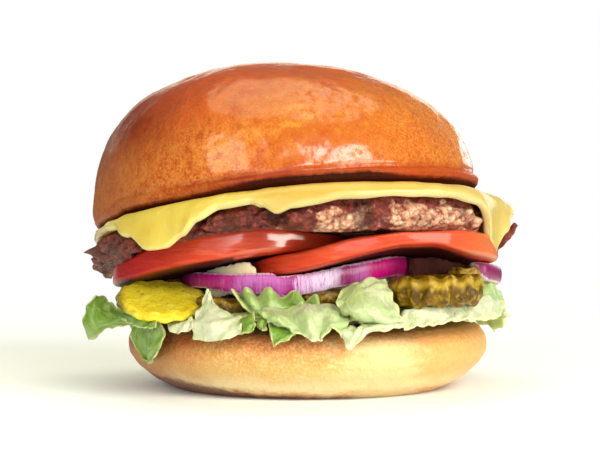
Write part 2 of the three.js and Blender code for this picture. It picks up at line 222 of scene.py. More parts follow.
class Paint:
    # a material being mixed; coords are in millimetres
    def __init__(self, name):
        self.material = bpy.data.materials.new(name)
        self.material.use_nodes = True
        self.tree = self.material.node_tree
        self.tree.nodes.clear()
        place = self.node("TexCoord", {}, {}, "Object")
        self.coords = self.node("VectorMath", {"operation": "SCALE"}, {0: place, 3: 1000})
        apart = self.tree.nodes.new("ShaderNodeSeparateXYZ")
        self.tree.links.new(self.coords.socket, apart.inputs[0])
        self.x, self.y, self.z = (Wire(self, apart.outputs[n]) for n in range(3))

    def node(self, kind, settings, values, output=0):
        made = self.tree.nodes.new("ShaderNode" + kind)
        for key, value in settings.items():
            if key == "stops":
                ramp = made.color_ramp
                ramp.interpolation = "EASE"
                for n, (at, colour) in enumerate(value):
                    stop = ramp.elements[n] if n < 2 else ramp.elements.new(at)
                    stop.position, stop.color = at, colour
            else:
                setattr(made, key, value)
        for key, value in values.items():
            if isinstance(value, Wire):
                self.tree.links.new(value.socket, made.inputs[key])
            else:
                made.inputs[key].default_value = value
        return Wire(self, made.outputs[output])

    def noise(self, scale, detail=3, roughness=0.5, vector=None):
        return self.node("TexNoise", {}, {"Vector": vector or self.coords, "Scale": scale, "Detail": detail,
                                          "Roughness": roughness})

    def voronoi(self, scale, feature="F1", vector=None):
        values = {"Vector": vector or self.coords, "Scale": scale}
        return self.node("TexVoronoi", {"feature": feature}, values, "Distance")

    def stretched(self, x, y, z):
        return self.node("VectorMath", {"operation": "MULTIPLY"}, {0: self.coords, 1: (x, y, z)})

    def joined(self, x, y, z):
        return self.node("CombineXYZ", {}, {0: x, 1: y, 2: z})

    def attribute(self, name):
        return self.node("Attribute", {"attribute_name": name}, {}, "Fac")

    def ramp(self, factor, *stops):  # each stop is its place and its screen colour
        return self.node("ValToRGB", {"stops": [(at, tint(*colour)) for at, *colour in stops]}, {0: factor})

    def blend(self, factor, a, b):
        a, b = (tint(*c) if isinstance(c, tuple) else c for c in (a, b))
        return self.node("Mix", {"data_type": "RGBA"}, {0: factor, 6: a, 7: b}, 2)

    def spot(self, at, size):  # 1 at a point, falling to 0 a radius away
        away = self.node("VectorMath", {"operation": "DISTANCE"}, {0: self.coords, 1: at}, 1)
        return 1 - away.rise(size * 0.35, size)

    def bump(self, height, distance, below=None):  # distance in millimetres
        values = {"Height": height, "Distance": distance * metre, "Strength": 1}
        if below:
            values["Normal"] = below
        return self.node("Bump", {}, values)

    def finish(self, colour, roughness, more, deep=None):
        # deep is how light goes under the surface: its share, its reach by colour, its depth in metres
        values = {"Base Color": colour, "Roughness": roughness, **more}
        if deep:
            values |= dict(zip(("Subsurface Weight", "Subsurface Radius", "Subsurface Scale"), deep))
        shader = self.node("BsdfPrincipled", {}, values)
        out = self.tree.nodes.new("ShaderNodeOutputMaterial")
        self.tree.links.new(shader.socket, out.inputs["Surface"])
        return self.material


def tint(r, g, b):  # a screen colour, 0 to 255, as linear light
    return tuple(((c / 255 + 0.055) / 1.055) ** 2.4 if c > 10 else c / 3294.6 for c in (r, g, b)) + (1.0,)


# surfaces that the layers share, as heights over (x, y)
def cheeseTop(x, y):
    return layer["cheeseCrest"] - 0.00085 * (x - layer["crestAt"]) ** 2 - layer["tilt"] * y


def pattyTop(x, y):
    return cheeseTop(x, y) - layer["cheeseSheet"] - layer["gap"]


def leftRise(x):  # how far the thick slice lifts the patty's underside at the left
    return 1.6 * (1 - smooth(-14, 4, x))


def pattyBottom(x, y):
    sag = np.where(x < 8, 0.002 * (x - 8) ** 2, 1.3 * smooth(8, 24, x) - 1.3 * smooth(26, 44, x))
    return layer["pattyBase"] - sag + leftRise(x) - layer["tilt"] * y


def upperThick(x):  # a slice that thins to a wedge over the lower one, and again towards its left tip
    return mix(6.6, 5.7, smooth(-26, -8, x)) * (1 - smooth(-6, 26, x)) + leftRise(x) - 3 * smooth(42, 54, -x)


def upperTop(x, y):
    return pattyBottom(x, y) - layer["gap"] - 1.8 * smooth(41, 52, -x)


def upperBottom(x, y):
    return upperTop(x, y) - upperThick(x)


def lowerTop(x, y):
    return pattyBottom(x, y) - layer["gap"] - upperThick(x) - layer["gap"] * (1 - smooth(16, 28, x))


def lowerBottom(x, y):  # the slice thins between x = 8 and x = 44, and is thickest right of that
    thin = 1.6 * smooth(8, 26, x) * (1 - smooth(32, 44, x)) - 1.3 * smooth(30, 46, x)
    return lowerTop(x, y) - layer["tomatoThick"] + thin


def outsideDisc(disc, x, y):
    return np.hypot(x - disc["at"][0], y - disc["at"][1]) - disc["radius"]


def skirt(x, y):  # how far the patty's overhang sags beside the slices under it
    beside = np.minimum(outsideDisc(tomato["upper"], x, y), outsideDisc(tomato["lower"], x, y))
    return 2.6 * smooth(1, 5, beside)


bunTop = {
    "radius": 54.1, "height": 39.7, "centre": (-6.3, 0), "seat": 50.2, "lip": 3.7,
    # its rim drops to the left by roll, its dome leans left by lean, and its left foot sags
    "roll": 0.1, "lean": 0.17, "leftSag": 3.4,
    "swell": 0.45, "wrinkle": 0.13, "segments": 420,
    "under": [[0, 0], [0.94, 0.1], [0.975, 0.35], [0.99, 1.1], [0.998, 2.2], [0.998, 3.1], [0.995, 3.7]],
}


def bunTopShell(v):
    # polar shell: underside out to a rolled lip, a shallow crease, then a superellipse dome
    # share = cos(t)^(2/p) and up = lip + (height - lip) sin(t)^(2/q); p is larger on the left, q on
    # the right, so the left bulges out and the right bulges up
    lip = v["lip"]
    under = stations(v["under"], 60)
    spread = np.concatenate([np.linspace(0, 0.9, 14)[:, None] * [1, 0.1], under[under[:, 0] > 0.9]])
    t = np.radians(np.concatenate([np.linspace(1.0, 20, 30), np.linspace(21, 90, 84)]))
    rows = len(spread) + len(t)
    a = np.broadcast_to(np.linspace(0, fullTurn, v["segments"], endpoint=False), (rows, v["segments"]))
    left = 0.5 - 0.5 * np.cos(a)
    dome = np.concatenate([np.zeros(len(spread)), t])[:, None] + 0 * a
    domeShare = 0.995 * np.cos(dome).clip(0) ** (2 / mix(1.72, 3.05, left))
    domeUp = lip + (v["height"] - lip) * np.sin(dome) ** (2 / mix(2.24, 1.7, left))
    isDome = np.arange(rows)[:, None] >= len(spread)
    lipShare = np.concatenate([spread[:, 0], 0 * t])[:, None] + 0 * a
    lipUp = np.concatenate([spread[:, 1], 0 * t])[:, None] + 0 * a
    share = np.where(isDome, domeShare, lipShare)
    up = np.where(isDome, domeUp, lipUp)
    # the lip stands out on the right, and the crease above it comes and goes
    outer = smooth(0.93, 0.98, share)
    share = share + 0.016 * (1 - left) ** 2 * smooth(4.4, 2.8, up) * outer
    crease = 0.006 + 0.012 * (1 - left) + 0.006 * noise2(np.cos(a) * 3, np.sin(a) * 3, 57)
    above = up - lip - 0.35 * noise2(np.cos(a) * 5, np.sin(a) * 5, 58)
    share = share - crease * np.exp(-(above / 0.75) ** 2) * outer
    swell = 1 + 0.008 * noise2(np.cos(a) * 1.5 + 2, np.sin(a) * 1.5 + up / 20, 51)
    r = share * v["radius"] * swell
    lx, ly = v["centre"][0] + r * np.cos(a), v["centre"][1] + r * np.sin(a)
    foot = around([[0, 0], [168, 0], [186, 1], [200, 1], [216, 0]], a) * smooth(0.93, 0.99, share)
    seat = v["seat"] + v["roll"] * (lx - v["centre"][0]) - layer["tilt"] * ly - v["leftSag"] * foot
    rest = cheeseTop(lx, ly) + layer["gap"]
    base = np.where(isDome, seat, np.maximum(rest, mix(rest, seat, smooth(0.66, 0.93, lipShare))))
    points = np.stack([lx - v["lean"] * up, ly + layer["tilt"] * up, base + up], -1)
    out = points - np.array([v["centre"][0], v["centre"][1], 50])
    out /= np.linalg.norm(out, axis=-1, keepdims=True)
    skin = smooth(2.6, 8, up) * outer * (1 - isDome) + smooth(2.6, 8, up) * isDome
    dent = v["swell"] * fractal(points / 13, 5, 2) + v["wrinkle"] * fractal(points / [3.4, 3.4, 4.4], 17, 2)
    points = points + out * (dent * skin)[..., None]
    return points, up


def makeBunTop(v):
    points, up = bunTopShell(v)
    p = Paint("brioche_crust")
    height = p.attribute("rise")
    patches = p.noise(0.055, 3, 0.55)
    mottle = p.noise(0.33, 5, 0.62)
    fine = p.noise(1.5, 4, 0.7)
    tone = patches * 0.75 + mottle * 0.55 + fine * 0.45 - 0.36
    colour = p.ramp(tone, (0.12, 126, 34, 6), (0.38, 172, 66, 12), (0.58, 182, 90, 19), (0.85, 206, 136, 46))
    # browned crown; golden specks at the right, partly painted highlights on the lit side; and paler grains
    # at the left
    crown = height.rise(22, 38)
    colour = p.blend(crown * 0.5, colour, (184, 66, 18))
    golden = p.blend(fine.rise(0.4, 0.6), (192, 96, 22), (232, 162, 62))
    colour = p.blend(p.x.rise(2, 40) * (1 - crown) * 0.5, colour, golden)
    grainy = (fine * 0.6 + mottle * 0.4).rise(0.42, 0.58) * (1 - p.x.rise(-34, 6))
    colour = p.blend(grainy * (1 - height.rise(14, 30)) * 0.5, colour, (232, 148, 68))
    # scorched patches, a dark left flank that is partly browner crust and partly painted shade on the side
    # away from the lights, and a paler foot low on the left
    scorch = (mottle * 0.65 + patches * 0.35).rise(0.47, 0.56) * (1 - p.x.rise(-40, -8)) * height.rise(13, 22)
    colour = p.blend(scorch * 0.6, colour, (200, 56, 14))
    flank = (mottle * 26 + patches * 16 + fine * 8 - p.x).rise(53, 76) * height.rise(6, 24)
    colour = p.blend(flank * 0.85, colour, (112, 26, 6))
    foot = (mottle * 8 - p.x).rise(40, 58) * (1 - height.rise(8, 24))
    colour = p.blend(foot * 0.6, colour, (172, 100, 54))
    # the lip, redder than the dome and partly darkened as painted shade under it; painted shade under the lip
    # in the gap above the cheese; and two small marks
    lipBand = 1 - (height + mottle * 2.4).rise(4.4, 6.6)
    lipTone = p.blend(p.x.rise(-30, 30), (132, 34, 14), (168, 60, 22))
    lipTone = p.blend(p.x.rise(-50, -30), (150, 70, 36), lipTone)
    colour = p.blend(lipBand * (0.25 + p.x.rise(-44, -14) * 0.6), colour, lipTone)
    belly = p.x.rise(-36, -6) * (1 - p.x.rise(14, 32))
    lipShade = 1 - (height + mottle * 1.2 - belly * 1.7).rise(0.9, 2.0)
    colour = p.blend(lipShade * 0.95, colour, p.blend(belly, (78, 18, 8), (34, 3, 2)))
    colour = p.blend(p.spot((1.4, -52.8, 66.5), 1.8) * 0.8, colour, (196, 54, 18))
    colour = p.blend(p.spot((-19.5, -44, 80.6), 0.9) * 0.7, colour, (150, 66, 28))
    pores = 1 - p.voronoi(0.9).rise(0.03, 0.16)
    wrinkles = p.noise(0.42, 6, 0.66, p.stretched(1, 1, 0.7))
    normal = p.bump(fine * (1 + p.x.rise(0, 36) * 1.5) - pores * 0.5, 0.14, p.bump(wrinkles, 0.7))
    flecks = p.noise(0.45, 6, 0.72, p.stretched(1, 1, 0.8)).rise(0.36, 0.54)
    broken = p.x.rise(-10, 2) * (1 - crown)
    glaze = 0.6 * (1 - broken) + flecks * broken
    shine = glaze * ((1 - lipShade) * (1 - lipBand * 0.75) * (1 - foot * 0.7) * (1 - flank * 0.75))
    more = {"Normal": normal, "Specular IOR Level": 0.25, "Specular Tint": tint(255, 214, 165),
            "Coat Weight": shine, "Coat Roughness": 0.18, "Coat IOR": 1.6}
    material = p.finish(colour, 0.5 - mottle * 0.2 + lipShade * 0.4, more, (0.05, (1, 0.35, 0.15), 0.002))
    addPiece("bun_top_crust", points, material, ["bun_top"], closed=True, poles=True,
             attributes={"rise": up})
    print("top bun made")


heel = {
    "segments": 330, "swell": 0.25,
    "profile": [[0, 0], [38, 0], [41.2, 1.5], [44.9, 3.3], [48.8, 6.7], [51.1, 10], [51.3, 12.4],
                [50.8, 14.8], [49.2, 17.1], [46.6, 18.3], [42, 18.5], [0, 18.5]],
}


def makeHeel(v):
    # polar shell of the heel's profile; its radius shrinks by up to 1.8 % in smooth swells
    a, r, z = polarGrid(stations(v["profile"], 150), v["segments"])
    r = r * (1 - 0.009 * (1 + noise2(np.cos(a) * 1.7 + 4, np.sin(a) * 1.7, 3)) * smooth(38, 48, r))
    points = np.stack([r * np.cos(a), r * np.sin(a), z], -1)
    side = smooth(39, 47, r)
    out = np.stack([np.cos(a), np.sin(a), 0 * a], -1)
    points = points + out * ((v["swell"] * fractal(points / [9, 9, 7], 31, 2)
                              + 0.1 * fractal(points / [2.2, 2.2, 3.4], 37, 2)) * side)[..., None]
    p = Paint("heel_crust")
    drift = p.noise(0.09, 3, 0.5)
    mottle = p.noise(0.4, 5, 0.6)
    level = p.z + drift * 5 - 2.5 + (mottle - 0.5) * 2.5
    # browned at the top, with a pale band low on the side that is partly pale crust and partly painted bounce
    # light from the floor
    colour = p.ramp(level / 20, (0.0, 150, 84, 36), (0.06, 206, 150, 80), (0.16, 234, 212, 160),
                    (0.42, 218, 172, 92), (0.64, 208, 142, 64), (0.82, 192, 106, 44), (0.97, 164, 78, 30))
    fine = p.noise(1.4, 4, 0.6)
    colour = p.blend((fine * 0.7 + mottle * 0.3).rise(0.44, 0.62) * 0.35, colour, (246, 220, 164))
    # a darker left side, partly browner crust and partly painted shade away from the lights
    flank = (drift * 20 + mottle * 12 - p.x).rise(36, 64)
    colour = p.blend(flank * 0.7, colour, (172, 88, 40))
    wide = p.x + drift * 14 + mottle * 6 - 10 + (p.noise(0.16, 4, 0.6, p.stretched(1, 1, 1.6)) - 0.5) * 26
    bare = wide.rise(0, 16) * (1 - wide.rise(22, 36))
    colour = p.blend(bare * (1 - p.z.rise(15.5, 18.5)) * 0.75, colour, (230, 206, 146))
    toasted = wide.rise(24, 38) * (1 - wide.rise(42, 56)) * p.z.rise(4, 10)
    colour = p.blend(toasted * 0.6, colour, (232, 154, 80))
    # painted light: the lit right side is lighter
    colour = p.blend(p.x.rise(8, 40) * (1 - bare) * 0.35, colour, (244, 190, 112))
    base = (1 - (p.z + mottle * 2.4 - (1 - p.x.rise(-42, -8)) * 3.4).rise(1.6, 3.2)) * (1 - p.x.rise(-10, 24))
    colour = p.blend(base * 0.85, colour, (106, 44, 14))
    streaks = p.noise(0.42, 5, 0.62, p.stretched(1, 1, 0.8))
    normal = p.bump(fine, 0.36, p.bump(streaks, 0.95))
    more = {"Normal": normal, "Coat Weight": 0.12, "Coat Roughness": 0.35}
    material = p.finish(colour, 0.62 - mottle * 0.15, more, (0.1, (1, 0.5, 0.25), 0.003))
    addPiece("bun_heel_crust", points, material, ["bun_heel"], closed=True, poles=True)
    print("heel made")


patty = {
    "radius": 57.6, "centre": (-2, -1), "lump": 1.7, "grain": 0.9, "pit": 1.9, "segments": 860,
    "hole": (-8.6, -57, 49.6),
    # [degrees, how far the left lump hangs] and [degrees, how far the rim is set back at the right]
    "hang": [[0, 0], [168, 0], [180, 5], [195, 7.6], [206, 4.4], [220, 1.8], [234, 0]],
    "inset": [[0, 2.2], [24, 0], [312, 0], [338, 2.4]],
    # a crisp scrap of crust that stands off the right end
    "scrap": [[[51.4, -17, 40.2], [53.6, -17, 42.7], [55.5, -16.4, 44.6], [57.2, -15.6, 46]],
              [[52.4, -17.4, 39], [55, -17.4, 41.4], [57, -16.8, 43.8], [58, -16, 45.6]]],
}


def rimRadius(a):
    return (patty["radius"] + 1.1 * noise2(np.cos(a) * 4 + 9, np.sin(a) * 4, 21)
            + around([[0, 0], [160, 0], [186, 3.4], [212, 0]], a))


def makePatty(v):
    # polar shell; the rim is pushed in and out by abs(noise), by round granules about scattered
    # points and by pits; one ragged lump with a spike hangs at the left
    rim = [[0.93, 0], [0.985, 0.1], [1, 0.3], [1, 0.66], [0.985, 0.88], [0.93, 1]]
    a, rho, side = polarGrid(discSection(0.925, 22, rim, 54), v["segments"])
    edge = smooth(0.93, 0.985, rho)
    crag = 1.1 * noise2(a * 14, side * 3.1, 33) - 1.2 * smooth(0.5, 0.8, side)
    crag = crag + 3.6 * np.exp(-((np.degrees(a) - 190) / 2.0) ** 2 - ((side - 0.8) / 0.1) ** 2)
    crag = crag - 5 * smooth(0.7, 0.15, side) * np.exp(-((np.degrees(a) - 188) / 13) ** 2)
    hang = around(v["hang"], a) * smooth(0.95, 0.99, rho) * (1 - side)
    r = rho * rimRadius(a) + (crag - around(v["inset"], a)) * edge - 1.1 * hang
    x, y = v["centre"][0] + r * np.cos(a), v["centre"][1] + r * np.sin(a)
    sag = skirt(x, y) * smooth(0.86, 0.95, rho)
    points = np.stack([x, y, mix(pattyBottom(x, y) - sag, pattyTop(x, y), side) - hang], -1)
    warp = np.stack([fractal(points / 3.0, k, 2) for k in (3, 13, 23)], -1)
    coarse = np.abs(noise3(points / 3.6 + 0.35 * warp, 61))
    near, second = cells(points / 2.1 + 0.35 * warp, 71)
    grain = 1 - smooth(0.0, 0.85, near)
    crumbly = noise3(points / 0.8, 75)
    chunky = 1 + 0.9 * smooth(4, -10, points[..., 0])
    hole = np.exp(-np.sum(((points - v["hole"]) / [2.6, 5, 1.8]) ** 2, -1))
    pit = smooth(0.3, 0.75, noise3(points / [7, 7, 4.5], 83)) + hole
    push = v["lump"] * chunky * coarse + v["grain"] / chunky * grain * (1 - 0.3 * smooth(-5, 5, x))
    push = push + 0.35 * crumbly + 0.8 * noise3(points / 9, 87) - v["pit"] * pit - 1
    points[..., 0] += np.cos(a) * push * edge
    points[..., 1] += np.sin(a) * push * edge
    points[..., 2] += 0.7 * (grain - 0.3) * edge * np.where(side > 0.5, -1, 1)
    # painted shade: darker in the crevices, between granules, in pits and in the hole
    deep = smooth(0.24, 0.0, coarse) * 0.6 + smooth(0.16, 0.0, second - near) * 0.6 + pit
    # pale inner meat shows low on the right, in two stretches
    drift = x + 5 * noise3(points / 4.5, 91) + 4 * noise3(points / 1.7, 97)
    bare = smooth(-4, 6, drift) * (1 - 0.75 * smooth(9, 15, drift) * smooth(27, 20, drift))
    crumb = bare * smooth(0.78, 0.42, side + 0.3 * noise3(points / 3.2, 93)) + 0.5 * noise3(points / 2.6, 77)
    crumb = np.clip(crumb + 0.35 * smooth(-50, -58, x) * smooth(0.9, 0.4, side), 0, 1)
    p = Paint("patty_meat")
    crumbs, creases = p.attribute("crumb"), p.attribute("crease")
    big, small = p.noise(0.5, 4, 0.65), p.noise(1.1, 6, 0.75)
    dark = p.ramp(big * 0.8 + small * 0.8 - 0.3, (0.2, 30, 5, 7), (0.42, 98, 27, 20), (0.6, 140, 54, 36),
                  (0.8, 190, 106, 78))
    # the pale meat darkens between its granules, partly its own colour and partly painted shade in the gaps
    shifted = {0: p.coords, 1: p.joined(big * 3, small * 3, big * 2)}
    granules = 1 - p.voronoi(0.62, "F1", p.node("VectorMath", {"operation": "ADD"}, shifted))
    pale = p.ramp(granules * 0.8 + small * 0.7 - 0.35, (0.08, 122, 58, 42), (0.28, 184, 120, 90),
                  (0.48, 224, 172, 136), (0.74, 240, 208, 176))
    colour = p.blend((crumbs + small * 0.8 - 0.4).rise(0.25, 0.65), dark, pale)
    colour = p.blend((-46 - p.x).rise(0, 8) * (1 - (p.z - big * 6).rise(36, 40)) * 0.5, colour, (132, 96, 92))
    # painted shade in the crevices
    colour = p.blend(creases * 0.65, colour, (40, 8, 8))
    fat = p.noise(0.8, 3, 0.6)
    normal = p.bump(small, 0.5, p.bump(p.noise(0.7, 4, 0.6), 0.4))
    more = {"Normal": normal, "Specular IOR Level": 0.5}
    material = p.finish(colour, 0.62 - fat.rise(0.45, 0.65) * 0.34, more, (0.06, (1, 0.3, 0.2), 0.0015))
    addPiece("patty_meat", points, material, ["patty"], closed=True, poles=True,
             attributes={"crumb": crumb, "crease": np.clip(deep, 0, 1) * edge})
    scrap, _ = foldSurface({"net": v["scrap"], "free": "lrtb", "tone": 0})
    addPiece("patty_scrap", scrap, material, sheet=0.9, attributes={"crumb": 0, "crease": 0.2})
    print("patty made")


cheese = {
    "sheet": layer["cheeseSheet"], "bend": 4.2, "segments": 480,
    # by degrees: how much sooner it bends at the right, its length from the middle, and its bend
    "inset": [[0, 2.4], [24, 0], [312, 0], [338, 3.2]],
    "outline": [[0, 60.8], [12, 60.6], [26, 64.5], [45, 63], [67, 68], [90, 62], [120, 62], [145, 68],
                [165, 60], [180, 58.6], [200, 58.6], [213, 60], [221, 64.5], [229, 68.8], [234, 69.4],
                [239, 66.8], [243, 63.2], [249, 60.3], [257, 59.8], [260, 61.6], [264, 64.2], [268, 63],
                [273, 62], [283, 61.6], [298, 60.6], [310, 61], [322, 61.6], [329, 63.8], [333, 69],
                [337, 72], [341, 66], [345, 61.8], [350, 60.6], [355, 60.4]],
    "bends": [[0, 40], [12, 44], [26, 66], [67, 66], [110, 50], [145, 66], [190, 55], [214, 60], [228, 80],
              [238, 82], [246, 62], [257, 48], [263, 82], [270, 66], [300, 52], [322, 60], [333, 93],
              [338, 95], [343, 70], [347, 42], [352, 30]],
}


def makeCheese(v):
    # polar shell of one melted slice: radial length s, bent over the patty's rim by an
    # arc of radius bend, then straight; half the thickness is added along the bent normal
    rim = [[0.81, 0], [0.985, 0], [0.998, 0.15], [1, 0.5], [0.998, 0.85], [0.985, 1], [0.81, 1]]
    a, rho, side = polarGrid(discSection(0.8, 8, rim, 70), v["segments"])
    s = rho * (around(v["outline"], a) + 0.5 * noise2(a * 9, 0 * a, 91) * smooth(0.9, 1, rho))
    start = rimRadius(a) - 1.5 - around(v["inset"], a)
    turn = np.minimum(np.radians(around(v["bends"], a)), np.maximum(0, s - start) / v["bend"])
    rest = np.maximum(0, s - start - v["bend"] * turn)
    out = (side - 0.5) * v["sheet"]
    r = np.minimum(s, start) + v["bend"] * np.sin(turn) + rest * np.cos(turn) + out * np.sin(turn)
    fall = v["bend"] * (1 - np.cos(turn)) + rest * np.sin(turn)
    x, y = patty["centre"][0] + r * np.cos(a), patty["centre"][1] + r * np.sin(a)
    z = cheeseTop(x, y) - v["sheet"] / 2 - fall + out * np.cos(turn)
    points = np.stack([x, y, z], -1)
    soft = smooth(0.84, 0.95, rho) * 0.32
    points = points + normalsOf(points, True) * (soft * fractal(points / 7, 95, 2))[..., None]
    p = Paint("melted_cheese")
    cloud = p.noise(0.07, 3, 0.5)
    small = p.noise(0.6, 4, 0.55)
    tone = cloud * 0.8 + small * 0.25
    colour = p.ramp(tone, (0.3, 210, 178, 62), (0.5, 212, 188, 78), (0.72, 214, 196, 94))
    colour = p.blend(p.x.rise(-30, -5) * 0.8, colour, (182, 146, 58))
    colour = p.blend(p.x.rise(20, 56) * 0.6, colour, (192, 176, 104))
    # painted shadow of the bun: orange over the cheese's flat top under it
    colour = p.blend(p.attribute("tucked") * 0.55, colour, (214, 130, 36))
    colour = p.blend(p.attribute("cut") * 0.6, colour, (228, 218, 160))
    colour = p.blend((-54 - p.x).rise(0, 4) * 0.6, colour, (226, 206, 170))
    normal = p.bump(small, 0.12, p.bump(p.noise(0.16, 3, 0.5), 0.6))
    more = {"Normal": normal, "Coat Weight": 0.2, "Coat Roughness": 0.25}
    material = p.finish(colour, 0.42 - small * 0.15, more, (0.3, (1, 0.75, 0.25), 0.003))
    addPiece("cheese_slice", points, material, ["cheese"], closed=True, poles=True,
             attributes={"cut": np.exp(-((side - 0.5) / 0.42) ** 4) * smooth(0.95, 0.99, rho),
                         "tucked": smooth(1.5, -2.5, s - start)})
    print("cheese made")


tomato = {
    "upper": {"at": (-21, -8), "radius": 34, "trim": 0, "wet": 1, "seed": 5, "top": upperTop,
              "bottom": upperBottom},
    "lower": {"at": (18, -14), "radius": 36, "trim": 0.035, "wet": 0.2, "seed": 8, "top": lowerTop,
              "bottom": lowerBottom},
    "segments": 320,
}


def tomatoMaterial():
    p = Paint("tomato_slice")
    rim, turn, share = p.attribute("skin"), p.attribute("turn"), p.attribute("share")
    cloud = p.noise(0.08, 3, 0.5)
    lines = p.noise(1.0, 4, 0.6, p.stretched(0.12, 0.12, 1.0))
    tone = cloud * 0.6 + lines * 0.6 - 0.1
    skin = p.ramp(tone, (0.25, 190, 38, 20), (0.5, 208, 66, 34), (0.78, 226, 104, 58))
    skin = p.blend(p.x.rise(4, 24) * 0.6, skin, (178, 58, 24))
    # painted light: the lit right end is washed paler
    skin = p.blend(p.x.rise(34, 56) * 0.7, skin, (204, 124, 66))
    skin = p.blend((cloud * 14 - p.x).rise(34, 60) * 0.9, skin, (156, 0, 24))
    # painted highlight: a pale pink gleam at the left tip
    skin = p.blend((-52.2 - p.x).rise(0, 2.4) * 0.6, skin, (234, 176, 176))
    # cut face: wet seed chambers between paler walls
    lobes = (turn * 5).wave() * share.rise(0.2, 0.5) * (1 - share.rise(0.78, 0.9))
    grains = p.noise(0.9, 4, 0.6)
    flesh = p.ramp(grains, (0.3, 196, 40, 30), (0.7, 226, 92, 66))
    flesh = p.blend(lobes.rise(0.1, 0.5), flesh, (168, 34, 18))
    seeds = (1 - p.voronoi(0.28).rise(0.18, 0.3)) * lobes.rise(0.1, 0.4)
    flesh = p.blend(seeds * 0.8, flesh, (226, 178, 92))
    colour = p.blend(rim, flesh, skin)
    # painted shade on the underside, darker at the left
    colour = p.blend(p.attribute("under") * 0.9, colour, p.blend(p.x.rise(-26, 8), (22, 1, 3), (58, 8, 7)))
    normal = p.bump(grains, 0.12, p.bump(lines, 0.3))
    more = {"Normal": normal, "Specular IOR Level": 0.18, "Coat IOR": 1.9, "Coat Roughness": 0.12,
            "Coat Weight": rim * lines.rise(0.2, 0.42) * p.attribute("wet")}
    return p.finish(colour, 0.7 - rim * 0.3, more, (0.12, (1, 0.25, 0.12), 0.003))


def makeTomato(v):
    # polar shell between two shared surfaces, its rim rounded
    material = tomatoMaterial()
    rim = [[0.91, 0], [0.955, 0], [0.99, 0.06], [1.003, 0.18], [1.004, 0.5], [0.999, 0.84], [0.988, 0.94],
           [0.955, 1], [0.91, 1]]
    a, rho, side = polarGrid(discSection(0.9, 16, rim, 38), v["segments"])
    for key in ("upper", "lower"):
        disc = v[key]
        swell = 1 + 0.012 * noise2(np.cos(a) * 2 + disc["seed"], np.sin(a) * 2, disc["seed"])
        r = rho * disc["radius"] * (swell - disc["trim"] * smooth(0.6, 0.95, np.cos(a)))
        x, y = disc["at"][0] + r * np.cos(a), disc["at"][1] + r * np.sin(a)
        points = np.stack([x, y, mix(disc["bottom"](x, y), disc["top"](x, y), side)], -1)
        dent = 0.05 * fractal(points / 5, 15, 2) * smooth(0.9, 0.98, rho)
        points += normalsOf(points, True) * dent[..., None]
        # painted shade on the underside reaches further in where it can be seen, right of x = -20
        under = smooth(np.where(x > -20, 0.95, 1), np.where(x > -20, 0.76, 0.975), rho) * (1 - side) ** 2
        values = {"skin": smooth(0.945, 0.965, rho), "turn": a, "share": rho, "under": under,
                  "wet": disc["wet"] * smooth(-26, -14, x) + 0.1}
        addPiece("tomato_slice_" + key, points, material, ["tomato_" + key], True, True, values)
    print("tomato made")


def underTomato(x, y):  # the lower of the two undersides, let go smoothly outside each slice
    upper = upperBottom(x, y) + 12 * smooth(1, 6, outsideDisc(tomato["upper"], x, y))
    lower = lowerBottom(x, y) + 12 * smooth(1, 6, outsideDisc(tomato["lower"], x, y))
    return np.minimum(upper, lower) - 1.5 * layer["gap"]


def ringRise(y):  # the rings climb to the front with the stack, and sink gently to the back
    return np.where(y < 0, -layer["tilt"] * y, -0.07 * y)


def bowl(x, depth):  # the rings sag lowest left of the middle
    return depth * (x + 13) ** 2


def torn(x, y):  # how far the core's crest is bitten down
    return 2.4 * np.abs(noise2(x / 1.7, y / 3, 6))


onion = {
    "ring": {"at": (-3, -9), "radius": 33, "wall": 3.4, "span": (0, 360), "slot": "onion_purple"},
    "inner": {"at": (0, -9), "radius": 25, "wall": 2.8, "span": (0, 360), "slot": "onion_pale"},
    "core": {"at": (-3, -9), "radius": 29.2, "wall": 2.2, "span": (211, 248), "slot": "onion_pale"},
    "right": {"at": (28.5, -6), "radius": 25.5, "wall": 3.2, "span": (-46, 104), "slot": "onion_purple"},
    "left": {"at": (-33, -8), "radius": 18, "wall": 2.8, "span": (135, 226), "slot": "onion_pale"},
}
onionShape = {  # the band's height at x, and its crest at (x, y)
    "ring": (lambda x: 5.6 - 1.5 * smooth(18, 30, -x), lambda x, y: 28.6 + bowl(x, 0.0042) + ringRise(y)),
    "inner": (lambda x: 4, lambda x, y: 28 + bowl(x, 0.003) + ringRise(y) * 0.85),
    "core": (lambda x: 8, lambda x, y: 37.2 - 3.6 * smooth(-14.5, -12.5, x) - torn(x, y)),
    "right": (lambda x: 4.8, lambda x, y: lowerBottom(x, y) - layer["gap"]),
    "left": (lambda x: 3.2, lambda x, y: upperBottom(x, y) - layer["gap"]),
}


